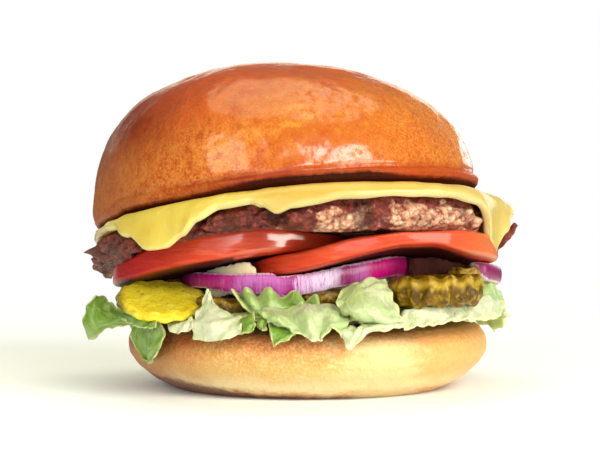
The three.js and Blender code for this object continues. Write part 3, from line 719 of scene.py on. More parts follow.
def onionMaterial(name, purple):
    p = Paint(name)
    skin, height, turn = p.attribute("outer"), p.attribute("height"), p.attribute("turn")
    thread = p.noise(1.0, 4, 0.7, p.joined(turn * 60, height * 1.2, skin))
    broad = p.noise(1.0, 3, 0.6, p.joined(turn * 7, height * 0.6, 3))
    if purple:
        # colour comes and goes round the ring, darker by the skin; the nearly white stretch near the front is
        # a painted highlight
        face = p.ramp(turn / math.pi + (thread - 0.5) * 0.09, (0.12, 124, 6, 78), (0.25, 184, 12, 128),
                      (0.31, 176, 30, 126), (0.37, 184, 92, 174), (0.44, 176, 78, 164), (0.49, 156, 18, 124),
                      (0.51, 208, 166, 214), (0.6, 226, 206, 234), (0.635, 146, 14, 98), (0.68, 190, 96, 168),
                      (0.73, 236, 4, 142), (0.9, 184, 4, 104))
        face = p.blend((1 - (broad * 0.4 + thread * 0.6).rise(0.4, 0.52)) * 0.55, face, (120, 0, 92))
        face = p.blend(((broad + thread) * 0.5).rise(0.54, 0.7) * 0.28, face, (222, 166, 216))
        cut = (238, 204, 220)
    else:
        tone = broad * 0.6 + thread * 0.4
        face = p.ramp(tone, (0.2, 244, 210, 150), (0.5, 252, 238, 190), (0.8, 254, 250, 224))
        cut = (254, 248, 218)
    edge = (height - 0.5) * (height - 0.5) * 4
    pale = (edge + (thread - 0.5) * 1.3).rise(0.62, 0.95)
    colour = p.blend(pale, face, cut)
    colour = p.blend(1 - skin, colour, (240, 222, 228) if purple else (236, 224, 190))
    more = {"Normal": p.bump(thread, 0.22), "Coat Weight": 0.25, "Coat Roughness": 0.12}
    return p.finish(colour, 0.4 - thread * 0.12, more, (0.25, (1, 0.5, 0.7), 0.002))


def makeOnion():
    # rounded band carried round a ring or an arc; its crest stays under the tomato
    section = stations([[0.18, 0], [0.8, 0], [1, 0.2], [1.06, 0.55], [1, 0.86], [0.8, 1], [0.18, 1], [0, 0.5],
                        [0.18, 0]], 41)[:-1]
    columnsPerRadian = 60
    purple, pale = onionMaterial("onion_purple", True), onionMaterial("onion_pale", False)
    for key, ring in onion.items():
        low, high = np.radians(ring["span"])
        whole = ring["span"] == (0, 360)
        count = int(abs(high - low) * columnsPerRadian)
        along = np.linspace(0, 1, count, endpoint=not whole)
        shape = (count, len(section))
        a = np.broadcast_to(mix(low, high, along)[:, None], shape)
        across, up = (np.broadcast_to(section[None, :, q], shape) for q in (0, 1))
        wobble = 1 + 0.02 * np.sin(2 * a + 1) + 0.012 * np.sin(5 * a)
        r = ring["radius"] * wobble - ring["wall"] * (1 - across)
        x, y = ring["at"][0] + r * np.cos(a), ring["at"][1] + r * np.sin(a)
        mx, my = ring["at"][0] + ring["radius"] * np.cos(a), ring["at"][1] + ring["radius"] * np.sin(a)
        height, crest = onionShape[key]
        top = np.minimum(crest(mx, my), np.minimum(underTomato(mx, my), underTomato(x, y)))
        share = along[:, None] + 0 * a
        ends = 1.0 if whole else smooth(0, 0.12, share) * smooth(0, 0.12, 1 - share)
        h = height(mx) * mix(0.6, 1, ends)
        points = np.stack([x, y, top - h * (1 - up)], -1)
        fray = 0.3 * noise2(a * 46, up * 2, 13) * (smooth(0.7, 1, up) + smooth(0.3, 0, up))
        points[..., 2] -= np.abs(fray)
        values = {"outer": smooth(0.55, 0.85, across), "height": up, "turn": a * ring["radius"] / 33}
        material = purple if ring["slot"] == "onion_purple" else pale
        if whole:
            points = np.concatenate([points, points[:1]])
            values = {k: np.concatenate([q, q[:1]]) for k, q in values.items()}
            values["turn"] = np.abs(values["turn"] / values["turn"].max() * fullTurn - math.pi)
        stands = [] if key == "core" else ["onion_" + key]
        piece = addPiece("onion_band_" + key, points, material, stands, True, not whole, values)
        if whole:
            weldSeam(piece)
    print("onion made")


def weldSeam(piece):
    bm = bmesh.new()
    bm.from_mesh(piece.data)
    bmesh.ops.remove_doubles(bm, verts=bm.verts, dist=1e-6)
    bmesh.ops.recalc_face_normals(bm, faces=bm.faces)
    bm.to_mesh(piece.data)
    bm.free()


# each chip is its middle, radius, thickness and slopes in x and y, then the angle and depth of
# the ripples over its faces, the depth of the ridges round its rim, and whether it is dark
pickles = {
    "left": ((-40, -32.3, 26.2), 12.2, 2.6, (-0.05, 0.32), 0.25, 0.2, 0.14, False),
    "right": ((34, -36.8, 29.2), 12.5, 8, (0.03, -0.05), 0.2, 0.5, 0.5, True),
    "mid_left": ((-20, -19, 24.2), 10, 4, (0.05, -0.06), 0.4, 0.38, 0.25, True),
    "mid_right": ((6, -21, 24.6), 10.5, 4, (0.04, -0.05), 0.9, 0.38, 0.25, True),
    "back_left": ((-23.5, 38.5, 28.6), 11.5, 3.6, (0.05, -0.06), 0.3, 0.38, 0.25, False),
    "back_right": ((24, 35.5, 28.8), 11.5, 3.6, (-0.03, -0.05), 1.2, 0.38, 0.25, False),
}
pickleBits = {  # smaller cut ends between the chips
    "end": ((42.6, -25.6, 31), 4.4, 7.4, (0.05, -0.1), 0.5, 0.38, 0.4, True),
    "front_left": ((-22.5, -32.6, 24.6), 8.2, 4.6, (-0.1, -0.05), 0.4, 0.38, 0.25, True),
    "front_right": ((4.6, -35.6, 26.8), 7.2, 4.2, (0.05, -0.05), 0.9, 0.38, 0.25, True),
}


def pickleMaterial(name, dark):
    p = Paint(name)
    rim, share = p.attribute("skin"), p.attribute("share")
    cloud, small = p.noise(0.22, 4, 0.55), p.noise(1.1, 4, 0.6)
    if dark:
        face, side = cloud * 0.7 + small * 0.4 - 0.05, small * 0.5 + cloud * 0.7 - 0.1
        flesh = p.ramp(face, (0.25, 54, 30, 1), (0.5, 98, 70, 1), (0.75, 146, 114, 2))
        skin = p.ramp(side, (0.28, 44, 26, 1), (0.5, 90, 62, 1), (0.74, 152, 116, 2))
    else:
        face, side = cloud * 0.7 + small * 0.3, small * 0.6 + cloud * 0.5 - 0.05
        flesh = p.ramp(face, (0.25, 196, 162, 16), (0.5, 220, 200, 44), (0.75, 232, 218, 92))
        skin = p.ramp(side, (0.3, 46, 52, 4), (0.5, 82, 84, 8), (0.72, 140, 126, 20))
    seeds = (1 - p.voronoi(0.33).rise(0.14, 0.26)) * (1 - share.rise(0.55, 0.7)) * share.rise(0.15, 0.3)
    flesh = p.blend(seeds * 0.6, flesh, (150, 112, 30))
    colour = p.blend(rim, flesh, skin)
    # a pale line along the top edge, partly the cut flesh and partly a painted highlight
    colour = p.blend(p.attribute("brink") * 0.45, colour, (206, 172, 52))
    if dark:
        # painted shade on the dark chips left of the middle, which sit back in shadow
        colour = p.blend((1 - p.x.rise(12, 20)) * 0.5, colour, (64, 36, 1))
        # golden patches, partly the amber flesh showing through and partly painted highlights
        wet = p.noise(0.5, 3, 0.6).rise(0.5, 0.68)
        colour = p.blend(wet * 0.5, colour, (196, 164, 30))
    normal = p.bump(small, 0.3, p.bump(cloud, 0.9))
    more = {"Normal": normal, "Specular IOR Level": 0.24, "Coat Weight": 0.1, "Coat Roughness": 0.12}
    return p.finish(colour, 0.34 - small * 0.12, more, (0.2, (1, 0.8, 0.2), 0.003))


def makePickles():
    # polar disc with a rounded rim, both faces rippled by one sine across the chip
    rim = [[0.89, 0], [0.93, 0.02], [1, 0.25], [1.015, 0.5], [1, 0.75], [0.93, 0.98], [0.89, 1]]
    a, rho, side = polarGrid(discSection(0.88, 17, rim, 22), 200)
    slots = {True: "pickle_dark", False: "pickle_flesh"}
    finishes = {dark: pickleMaterial(name, dark) for dark, name in slots.items()}
    toothPitch, ripplePitch = 4.6, 5.4
    for key, (at, radius, thick, lean, cut, depth, ridge, dark) in {**pickles, **pickleBits}.items():
        teeth = ridge * np.sin(round(fullTurn * radius / toothPitch) * a) * smooth(0.8, 1, rho)
        r = rho * (radius * (1 + 0.02 * np.sin(3 * a + cut)) + teeth)
        lx, ly = r * np.cos(a), r * np.sin(a)
        along = lx * math.cos(cut) + ly * math.sin(cut)
        crinkle = depth * np.sin(along / ripplePitch * fullTurn)
        up = lx * lean[0] + ly * lean[1] + (side - 0.5) * thick + crinkle
        points = np.stack([at[0] + lx, at[1] + ly, at[2] + up], -1)
        edge = smooth(0.9, 0.99, rho)
        points += normalsOf(points, True) * (0.3 * edge * fractal(points / 2.6, 19, 2))[..., None]
        skin = smooth(0.95, 0.995, rho)
        if not dark:
            # the skin colour also spreads in over the chip's two ends, partly skin there and partly painted
            # shade
            skin = skin * smooth(0.62, 0.9, np.abs(np.cos(a))) + skin * smooth(0, 0.3, np.sin(a))
            skin = skin + 0.75 * smooth(0.7, 1.0, -rho * np.cos(a)) + 0.4 * smooth(0.8, 1.0, rho * np.cos(a))
        values = {"skin": np.clip(skin, 0, 1), "share": rho,
                  "brink": smooth(0.55, 0.75, side) * smooth(0.95, 0.985, rho)}
        stands = ["pickle_" + key] if key in pickles else []
        addPiece("pickle_chip_" + key, points, finishes[dark], stands, True, True, values)
    print("pickles made")


lettuce = {
    "sheet": 0.5, "bend": 5.4, "ruffle": 0.18, "ragged": 0.4,
    "leafGrid": (3.2, 48), "foldGrid": (11, 18), "innerGrid": 24,  # columns a degree, rows; points a net cell
    "leaves": {
        "back_right": {"span": (346, 440), "lift": [1.5, 4, 4.6, 4.2, 4.8, 4.2],
                       "reach": [56, 57, 57, 60, 57, 60, 57, 61, 58, 60, 57, 58],
                       "droop": [-24, 14, 52, 20, 50, 18, 54, 22, 56, 20, 48, 36]},
        "back_left": {"span": (77.5, 164.5), "lift": [5.4, 4.8, 4.4, 4.8, 3.6, 1],
                      "reach": [57, 60, 57, 61, 58, 60, 57, 60, 58, 56],
                      "droop": [40, 20, 54, 22, 56, 18, 50, 24, 52, 36]},
        "bed": {"span": (162, 348), "lift": [0.2, 0.2, 0.3, 1.5, 3.4, 3.6, 3.4, 2.6, 1.5, 0.8],
                "reach": [50, 50, 49.5, 49, 49, 48.5, 49, 49, 50, 50], "droop": [20, 20, 20, 20, 20]},
    },
    # front folds as nets of points, rows of [x, y, z] from the inner edge to the free one; each fold's tone
    # is partly its own paleness and partly painted light and shade
    "folds": {
        "fan": {"stands": "far_left", "tone": 0.34, "free": "lrb", "net": [
            [[-47, -22, 21.5], [-47, -24, 20.5], [-47, -25, 19.8], [-47, -25, 19.4]],
            [[-50.3, -21, 22.5], [-50.5, -24, 21.1], [-50.5, -25, 20], [-50.6, -25, 18.9]],
            [[-53, -18, 23.2], [-53.8, -22, 20.9], [-53.8, -24, 19.3], [-53.8, -24, 18.2]],
            [[-55.6, -15, 24.8], [-57, -20.5, 22.1], [-57.2, -23, 19.3], [-56.7, -21.5, 17.1]],
            [[-57.3, -14, 26.2], [-59.5, -19.5, 23.8], [-60, -22.5, 19.4], [-58.6, -19.5, 15.5]],
            [[-58.8, -16.5, 26.3], [-61, -18, 24], [-61.7, -20, 19.9], [-61, -17.5, 14]]]},
        "cup": {"stands": "cup", "tone": 0.3, "free": "lrb", "net": [
            [[-46, -23, 20.2], [-44, -28, 21], [-41, -32, 21.6], [-38, -35, 21.6]],
            [[-48, -25, 19.9], [-45.8, -29, 21.4], [-42.8, -34, 22], [-39.6, -38, 21.8]],
            [[-48.5, -26, 17.3], [-45.8, -28, 18.1], [-42.7, -36.5, 19.8], [-38.9, -40, 19]],
            [[-47.7, -26, 13.7], [-45.3, -27.6, 14.2], [-42.1, -37, 16.1], [-39.2, -40, 15.6]],
            [[-45.8, -27.5, 10.8], [-44.2, -29, 10.8], [-42.7, -36, 12.8], [-41, -38, 12.5]],
            [[-43.8, -30, 9.3], [-43.2, -31, 9.1], [-42.6, -33.5, 9.6], [-42, -35, 9.8]]]},
        "strip": {"tone": 0.95, "free": "lrb", "net": [
            [[-38, -38, 20.8], [-34.5, -40, 21.2], [-31, -42, 22.4]],
            [[-37.8, -41, 20.2], [-34.3, -43.6, 20.6], [-30.8, -45.6, 21.6]],
            [[-37.2, -42.4, 18.9], [-34, -45, 18.7], [-30.4, -46.6, 20]]]},
        "pale": {"stands": "pale", "tone": 0.95, "free": "lrbt", "net": [
            [[-27.6, -39, 29.4], [-27, -39.4, 29.8], [-26.7, -39.5, 29.4], [-26.2, -40, 28.6]],
            [[-28.6, -40, 26], [-27.4, -41.5, 26.5], [-26, -42, 26], [-24.4, -43, 24.9]],
            [[-30.3, -43, 23.4], [-27.3, -45.5, 23.9], [-23.5, -46.5, 23.5], [-18.2, -47.5, 23.2]],
            [[-30.9, -45.6, 20.6], [-26.9, -49, 20.5], [-22.3, -50, 21], [-17.6, -51.8, 21.3]],
            [[-30.7, -46, 17], [-26.6, -48, 16.8], [-21.8, -50.8, 17.4], [-17.8, -51.5, 19]]]},
        "block": {"tone": 0.3, "free": "lrbt", "net": [
            [[-18.3, -47, 23.3], [-16, -47.5, 24], [-14.4, -48, 24.4]],
            [[-18, -50.6, 21.3], [-16, -52.6, 22], [-14.2, -51.6, 22.2]],
            [[-17.8, -51.4, 18.9], [-16, -52.8, 19.2], [-14.2, -51.8, 19.9]]]},
        "nook": {"tone": 0.45, "free": "lrbt", "net": [
            [[-14, -47, 23.4], [-12.4, -48, 23.8], [-11, -48, 23.6]],
            [[-13.6, -49.6, 21.6], [-12.4, -51, 21.6], [-11, -50, 21.6]],
            [[-13.2, -50, 19.8], [-12.2, -51.2, 19.6], [-11, -50.4, 20]]]},
        "frill": {"tone": 0.42, "free": "tl", "ripple": 1.5, "net": [
            [[-20.5, -41, 29.2], [-16, -41.6, 29.6], [-10.5, -42.2, 29.4], [-5, -42.4, 28.8],
             [0, -42.6, 27.6], [4, -43, 26.4]],
            [[-18, -43.4, 26.4], [-14.5, -44.4, 26.8], [-9.5, -44.8, 26.6], [-4.4, -45, 26.4],
             [0.4, -45, 25.6], [4, -44.8, 25]],
            [[-15.5, -44, 23.4], [-12.5, -45, 23.4], [-8.5, -45.4, 23.2], [-4, -45.6, 23.4],
             [0.4, -45.4, 23.4], [4, -45, 23.2]]]},
        "link": {"tone": 0.2, "free": "lrbt", "net": [
            [[-49, -26, 22.4], [-46.4, -35, 22.8], [-43.4, -41.5, 21.8], [-40.4, -44, 21.6]],
            [[-50.4, -27.5, 22.4], [-48, -36.4, 22.6], [-44.4, -43.6, 21.4], [-40.6, -46, 21.2]],
            [[-50.4, -28.4, 20.8], [-48, -37, 20.4], [-44.6, -43.8, 19.8], [-41, -46, 20.2]]]},
        "ruffle": {"stands": "ruffle", "tone": 0.8, "free": "lrb", "net": [
            [[-13.4, -46, 24.3], [-10.2, -45, 25.4], [-6.5, -46, 25], [-2.3, -45.4, 26.2],
             [1.9, -46.4, 26], [5.6, -46, 26.2], [9.6, -46, 24.8]],
            [[-12.3, -50.5, 23.8], [-8.6, -53, 23.8], [-4.4, -50.8, 23.6], [-0.7, -53.5, 24.4],
             [2.9, -51.5, 24.1], [6.1, -53.4, 23.6], [10.4, -51, 22.6]],
            [[-10.7, -51.5, 22.4], [-6.5, -54.4, 21.6], [-2.8, -52.8, 21.1], [0.3, -56, 21.4],
             [3.5, -53.6, 21.4], [5.8, -56.4, 21.9], [9.9, -53, 20.3]],
            [[-10.2, -50.8, 22], [-4.9, -53.4, 19.8], [-1.5, -54.6, 18.5], [1.1, -56.4, 17.4],
             [3.5, -54.6, 17.7], [5.8, -57, 21], [8.9, -54, 18.3]]]},
        "flap": {"tone": 0.3, "free": "lrb", "net": [
            [[-10.7, -50, 22.2], [-7.3, -51, 20.9], [-3.2, -52.2, 19.4]],
            [[-10.2, -52.4, 19.4], [-7.6, -53.2, 18.9], [-3.8, -53.4, 18.7]],
            [[-9.3, -53.2, 15.7], [-8.5, -53.6, 16.1], [-5.6, -54, 17.8]]]},
        "band": {"tone": 0.92, "free": "lrbt", "net": [
            [[8.3, -50, 22], [11.4, -51, 21], [15.6, -51.6, 21.7], [20.3, -49.8, 22.2],
             [25.2, -46.6, 22.3]],
            [[8.2, -53.8, 20.6], [11.2, -54.6, 19.2], [15.4, -55, 20.6], [20.3, -53, 21.2],
             [25.4, -49.8, 21.6]],
            [[8.4, -53.6, 19.2], [10.7, -54.4, 15], [15, -54.8, 18.9], [20.2, -52.8, 20],
             [25.2, -50, 20.6]]]},
        "bulge": {"stands": "bulge", "tone": 0.78, "free": "lrbt", "net": [
            [[10.4, -43.4, 30.4], [13.4, -44, 32.2], [17.4, -43.6, 33], [21, -41.6, 32.3]],
            [[8.5, -46.6, 29.2], [12.5, -49, 30], [17.2, -49.2, 30.6], [21.8, -46, 29.2]],
            [[7.2, -49.6, 27.6], [11.9, -52.4, 27.4], [17.1, -52.8, 27.6], [23, -48.4, 26.3]],
            [[8.2, -51.4, 25.6], [12.4, -54.6, 24.9], [17.6, -54.8, 24.9], [24.3, -49.8, 23.6]],
            [[10.9, -51, 24], [13.9, -54.2, 22.8], [19.2, -54, 22.2], [25.4, -50, 21.8]],
            [[11.4, -46, 23], [15, -48.4, 21.6], [19.7, -49, 20.8], [25.2, -47, 20.6]]]},
        "flat": {"stands": "flat", "tone": 1.0, "free": "lrb", "net": [
            [[24.6, -44.4, 24.2], [30, -46, 25.4], [37, -42.4, 25.6], [43.7, -33.4, 26.6],
             [49.4, -20.6, 26.8], [53, -9, 26]],
            [[24.9, -47, 22.2], [30.9, -47, 23.0], [37.5, -43.4, 23.2], [44.5, -35, 24.2],
             [50.4, -23, 24.2], [54.4, -12, 23.4]],
            [[25.2, -49.4, 20.1], [32.2, -48.8, 20.8], [38.6, -44.6, 21.8], [45.3, -37.0, 21.2],
             [50.8, -25.6, 20.7], [53.6, -15, 21.3]]]},
        "curl": {"tone": 0.6, "free": "lrbt", "net": [
            [[45, -19, 29.6], [48.4, -15.4, 30.2], [51, -10, 29.4], [53, -4, 27.6]],
            [[46.5, -22, 27.5], [50, -18.6, 27.8], [53, -12, 27.0], [54.6, -5, 25.6]],
            [[46, -23, 24.5], [50, -20, 24.5], [53, -14, 24.3], [54.6, -6, 23.6]]]},
    },
    # leaves that stand inside, painted in deep shade, from a foot height up to the tomato, along a path of
    # [x, y]
    "inner": {
        "middle": {"foot": 27.2, "path": [[-24, -16], [-19.5, -24], [-9, -28.4], [2, -28.8], [12, -25.6],
                                          [18.5, -18], [20.6, -8]]},
        "left": {"foot": 21, "path": [[-51.5, -15.5], [-47, -18.4], [-42, -19.2], [-35, -19]]},
        "right": {"foot": 21, "path": [[27.8, -22.6], [33, -22.4], [38, -20.8], [44.6, -17.6]]},
        "behind": {"foot": 20.8, "path": [[-45, -13], [-43.5, 0], [-37, 13], [-23, 24.6], [-4, 27], [8, 25],
                                          [16, 20], [20.6, 15.8], [27, 12.8], [35, 12.6], [43, 7.4], [48, -3],
                                          [47, -13]]},
    },
}


def lettuceMaterial():
    p = Paint("lettuce_leaf")
    rim, along, out, tone = (p.attribute(name) for name in ("rim", "along", "outward", "tone"))
    cloud, small = p.noise(0.11, 3, 0.55), p.noise(0.9, 4, 0.6)
    # tone paints each piece lighter or darker, partly the leaf's own paleness and partly painted light and
    # shade; below zero it is painted deep shade, near black to maroon
    shade = tone * 0.75 + cloud * 0.55 + small * 0.12 - 0.24
    leaf = p.ramp(shade, (0.0, 84, 26, 18), (0.08, 58, 86, 14), (0.3, 112, 146, 50), (0.58, 160, 184, 116),
                  (0.9, 200, 208, 174))
    warp = p.joined(along * 0.2 + cloud * 1.4, out * 0.1, 5)
    ribs = 1 - p.voronoi(1.0, "DISTANCE_TO_EDGE", warp).rise(0.0, 0.09)
    fineRibs = 1 - p.voronoi(3.0, "DISTANCE_TO_EDGE", warp).rise(0.0, 0.16)
    colour = p.blend(ribs * tone * 0.3, leaf, (208, 220, 176))
    colour = p.blend(fineRibs * tone * 0.08, colour, (200, 214, 158))
    # a pale edge line, partly the thin leaf edge and partly a painted highlight
    colour = p.blend(rim * tone.rise(-0.2, 0.2) * 0.5, colour, (226, 226, 158))
    puff = p.voronoi(0.36, "DISTANCE_TO_EDGE").rise(0.0, 0.3)
    crinkle = p.noise(0.7, 4, 0.55)
    normal = p.bump(ribs * 0.5 + fineRibs * 0.15, 0.25, p.bump(crinkle + puff * 0.3, 0.22))
    normal = p.bump(small, 0.12, normal)
    fresh = tone.rise(-0.4, 0)
    more = {"Normal": normal, "Coat Weight": fresh * 0.15, "Coat Roughness": 0.2}
    return p.finish(colour, 0.9 - fresh * 0.5 - small * 0.15, more, (0.35, (0.6, 1, 0.25), 0.003))


def splined(net, t):  # Catmull-Rom run through the first axis of net, its ends carried on straight
    padded = np.concatenate([2 * net[:1] - net[1:2], net, 2 * net[-1:] - net[-2:-1]])
    i = np.minimum(t.astype(int), len(net) - 2)
    f = (t - i).reshape(-1, *[1] * (net.ndim - 1))
    a, b, c, d = (padded[i + n] for n in range(4))
    square, cube = 2 * a - 5 * b + 4 * c - d, 3 * b - a - 3 * c + d
    return 0.5 * (2 * b + (c - a) * f + square * f ** 2 + cube * f ** 3)


def foldSurface(fold):
    # smooth surface through the net, with small swells and, at its free edges, ripples
    net = np.array(fold["net"], float)
    rows, columns = net.shape[:2]
    nv, nu = rows * lettuce["foldGrid"][0], columns * lettuce["foldGrid"][1]
    v, u = np.linspace(0, rows - 1, nv), np.linspace(0, columns - 1, nu)
    points = splined(net, v)
    points = np.swapaxes(splined(np.swapaxes(points, 0, 1), u), 0, 1)
    wide = np.linalg.norm(np.diff(points, axis=1), axis=-1).sum(1).mean()
    tall = np.linalg.norm(np.diff(points, axis=0), axis=-1).sum(0).mean()
    along = np.linspace(0, 1, nu)[None, :] * wide + np.zeros((nv, 1))
    out = np.linspace(0, 1, nv)[:, None] * tall + np.zeros((1, nu))
    edges = {"l": along, "r": wide - along, "t": out, "b": tall - out}
    edge = np.min([edges[key] for key in fold["free"]], axis=0)
    near = 1 - smooth(0, 5, edge)
    phase = 2.5 * noise3(points / 5, 3)
    swell = 0.5 * fractal(points / 4.2, 29, 2)
    swell = swell + lettuce["ragged"] * near * np.sin((along + out) / 0.85 + phase)
    if fold.get("ripple"):
        swell = swell + fold["ripple"] * np.sin(along / 0.8 + phase) * smooth(0, 1, 1 - out / tall + 0.3)
    points = points + normalsOf(points, False) * swell[..., None]
    points[..., 2] += 0.28 * near ** 3 * noise3(points / 1.1, 41)
    rim = 1 - smooth(0.1, 0.8, edge + 0.3 * noise3(points / 1.5, 43))
    return points, {"rim": rim, "along": along, "outward": out, "tone": fold["tone"]}


def standingLeaf(leaf):
    # wall along the path, rippled more towards its top, which stays under the tomato
    path = np.array(leaf["path"], float)
    rows = lettuce["innerGrid"]
    line = splined(path, np.linspace(0, len(path) - 1, rows * len(path)))
    steps = np.linalg.norm(np.diff(line, axis=0), axis=1)
    along = np.concatenate([[0], np.cumsum(steps)])[None, :] + np.zeros((rows, 1))
    t = np.linspace(0, 1, rows)[:, None] + 0 * along
    side = np.gradient(line, axis=0)
    side = np.stack([side[:, 1], -side[:, 0]], -1) / np.linalg.norm(side, axis=1, keepdims=True)
    push = (0.9 * np.sin(along / 1.1) + 0.7 * noise2(along / 3, t * 2, 9)) * t
    x = line[None, :, 0] + side[None, :, 0] * push
    y = line[None, :, 1] + side[None, :, 1] * push
    top = np.minimum(underTomato(x, y), pattyBottom(x, y)) - 0.4 - 0.5 * np.abs(noise2(along / 1.5, 0 * t, 5))
    points = np.stack([x, y, mix(leaf["foot"], top, t)], -1)
    # tone -0.5 paints the standing wall in deep shade
    return points, {"rim": 0, "along": along, "outward": t * 12, "tone": -0.5}


def leafSurface(leaf, nu, nv):
    # lies on the heel, swells by its lift, then bends by its own droop near the edge;
    # ripples run across the edge and grow towards it
    v = np.linspace(0, 1, nv)[:, None] + np.zeros((1, nu))
    u = np.linspace(0, 1, nu)[None, :] + np.zeros((nv, 1))
    bend = lettuce["bend"]
    droop, lift = np.radians(run(leaf["droop"], u)), run(leaf["lift"], u)
    start = np.where(droop > 0, mix(46.6, 43.4, smooth(0, 5, lift)), 46)
    a = np.radians(mix(leaf["span"][0], leaf["span"][1], u))
    ragged = 0.7 * noise2(a * 26, 0 * a, 7) + 0.3 * noise2(a * 70, 0 * a, 9)
    s = mix(24, run(leaf["reach"], u) + ragged, v ** 0.75)
    turn = np.minimum(np.abs(droop), np.maximum(0, s - start) / bend)
    rest = np.maximum(0, s - start - bend * turn)
    r = np.minimum(s, start) + bend * np.sin(turn) + rest * np.cos(turn)
    fall = bend * (1 - np.cos(turn)) + rest * np.sin(turn)
    x, y = r * np.cos(a), r * np.sin(a)
    wave = 0.5 + 0.5 * noise2(x / 9, y / 9, 11)
    z = (layer["heelHeight"] + layer["gap"] + 0.7 + lift * smooth(32, 42, s)
         + wave * smooth(24, 40, s) * smooth(0.2, 1.2, 1.4 - turn) - np.where(droop > 0, fall, -fall))
    points = np.stack([x, y, z], -1)
    grow = smooth(40, 60, s)
    arc = a * 54
    ripple = np.sin(arc / 1.9 + 2.5 * noise2(arc / 6, s / 6, 3))
    ripple = ripple + 0.6 * np.sin(arc / 1.05 + 3 * noise2(arc / 4, s / 5, 4))
    points = points + normalsOf(points, False) * (lettuce["ruffle"] * ripple * grow ** 1.5)[..., None]
    return points, v, arc, s


def makeLettuce(v):
    material = lettuceMaterial()
    for key, leaf in v["leaves"].items():
        columns, rows = v["leafGrid"]
        points, out, arc, s = leafSurface(leaf, int((leaf["span"][1] - leaf["span"][0]) * columns), rows)
        rim = 1 - smooth(0.3, 1.4, (1 - out ** 0.75) * 33)
        stands = [] if key == "bed" else ["lettuce_" + key]
        addPiece("lettuce_leaf_" + key, points, material, stands, sheet=v["sheet"],
                 attributes={"rim": rim, "along": arc, "outward": s, "tone": 0.55})
    for key, fold in v["folds"].items():
        points, values = foldSurface(fold)
        stands = ["lettuce_" + fold["stands"]] if "stands" in fold else []
        addPiece("lettuce_fold_" + key, points, material, stands, sheet=v["sheet"],
                 attributes=values)
    for key, leaf in v["inner"].items():
        points, values = standingLeaf(leaf)
        addPiece("lettuce_inner_" + key, points, material, sheet=v["sheet"], attributes=values)
    print("lettuce made")


def makeStage():
    # a floor whose edge fades out, so that it runs into the white behind it
    p = Paint("pale_floor")
    grain = p.noise(0.01, 2, 0.5)
    away = p.node("VectorMath", {"operation": "LENGTH"}, {0: p.coords}, 1)
    colour = p.ramp(grain, (0.3, 244, 248, 254), (0.7, 246, 250, 255))
    more = {"Alpha": 1 - away.rise(90, 330), "Emission Color": colour, "Emission Strength": 0.06}
    material = p.finish(colour, 0.7, more)
    mesh = bpy.data.meshes.new("floor")
    half = 0.65
    corners = [(-half, -half, 0), (half, -half, 0), (half, half, 0), (-half, half, 0)]
    mesh.from_pydata(corners, [], [(0, 1, 2, 3)])
    mesh.materials.append(material)
    floor = bpy.data.objects.new("floor", mesh)
    bpy.context.scene.collection.objects.link(floor)
    # the world shows white behind the burger and lights it softly
    world = bpy.data.worlds.new("studio")
    bpy.context.scene.world = world
    world.use_nodes = True
    tree = world.node_tree
    tree.nodes.clear()
    path, out = tree.nodes.new("ShaderNodeLightPath"), tree.nodes.new("ShaderNodeOutputWorld")
    result = None
    for name, strength in light["world"].items():
        sky = tree.nodes.new("ShaderNodeBackground")
        sky.inputs["Strength"].default_value, sky.inputs["Color"].default_value = strength, (1, 1, 1, 1)
        if result:
            blend = tree.nodes.new("ShaderNodeMixShader")
            tree.links.new(path.outputs[name], blend.inputs[0])
            tree.links.new(result, blend.inputs[1])
            tree.links.new(sky.outputs[0], blend.inputs[2])
            sky = blend
        result = sky.outputs[0]
    tree.links.new(result, out.inputs["Surface"])
    print("floor and world made")


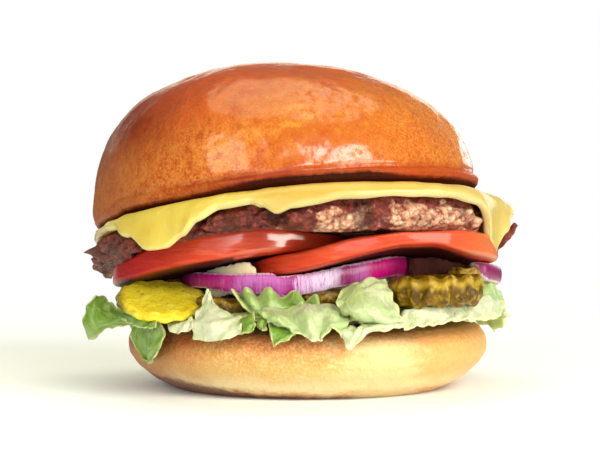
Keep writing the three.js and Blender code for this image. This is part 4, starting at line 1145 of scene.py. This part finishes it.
light = {
    "world": {"fill": 0.32, "Is Glossy Ray": 0.12, "Is Camera Ray": 1.0},
    "aim": 0.045,  # the height that they all face
    "round": 1.13,  # makes an ellipse about as large as the box that it stands for
    "boxes": {  # name: azimuth right of the camera, elevation, distance, width, height, brightness, colour
        "key_right": (32, 29, 1.1, 1.0, 0.26, 12.0, (1, 0.97, 0.88)),
        "window_right": (50, 5, 1.2, 0.8, 0.58, 6.6, (1, 0.97, 0.85)),
        "fill_left": (-36, 31, 1.2, 0.52, 0.34, 7.0, (1, 0.96, 0.62)),
        "front_soft": (-16, 5, 1.3, 0.9, 0.5, 3.0),
        "top_soft": (-5, 101, 0.9, 0.84, 0.74, 2.3, (1, 0.96, 0.58)),
        "back_soft": (180, 13, 1.1, 1.3, 0.2, 1.6, (1, 0.94, 0.72)),
        "rim_right": (155, 5, 1.1, 0.4, 0.2, 2.2),
    },
}


def makeLights(v):
    for name, (azimuth, elevation, away, width, height, glow, *warm) in v["boxes"].items():
        a, e = math.radians(azimuth), math.radians(elevation)
        data = bpy.data.lights.new(name, "AREA")
        data.shape, data.size, data.size_y = "ELLIPSE", v["round"] * width, v["round"] * height
        data.energy = glow * math.pi * width * height
        data.color = warm[0] if warm else (1, 1, 1)
        lamp = bpy.data.objects.new(name, data)
        level = away * math.cos(e)
        lamp.location = (level * math.sin(a), -level * math.cos(a), v["aim"] + away * math.sin(e))
        lamp.rotation_euler = (math.pi / 2 - e, 0, a)
        bpy.context.scene.collection.objects.link(lamp)
    print("lights made")


view = {"distance": 0.7, "elevation": 2.5, "aim": (-0.0023, 0, 0.0454), "lens": 147.9}


def makeCamera(v):
    data = bpy.data.cameras.new("camera")
    data.lens, data.sensor_width = v["lens"], 36
    data.clip_start, data.clip_end = 0.01, 50
    camera = bpy.data.objects.new("camera", data)
    e = math.radians(v["elevation"])
    camera.location = (v["aim"][0], -v["distance"] * math.cos(e), v["aim"][2] + v["distance"] * math.sin(e))
    camera.rotation_euler = (math.pi / 2 - e, 0, 0)
    bpy.context.scene.collection.objects.link(camera)
    bpy.context.scene.camera = camera
    bpy.context.scene.view_settings.view_transform = "Standard"
    print("camera made")


makeHeel(heel)
makeLettuce(lettuce)
makePickles()
makeOnion()
makeTomato(tomato)
makePatty(patty)
makeCheese(cheese)
makeBunTop(bunTop)
makeStage()
makeLights(light)
makeCamera(view)
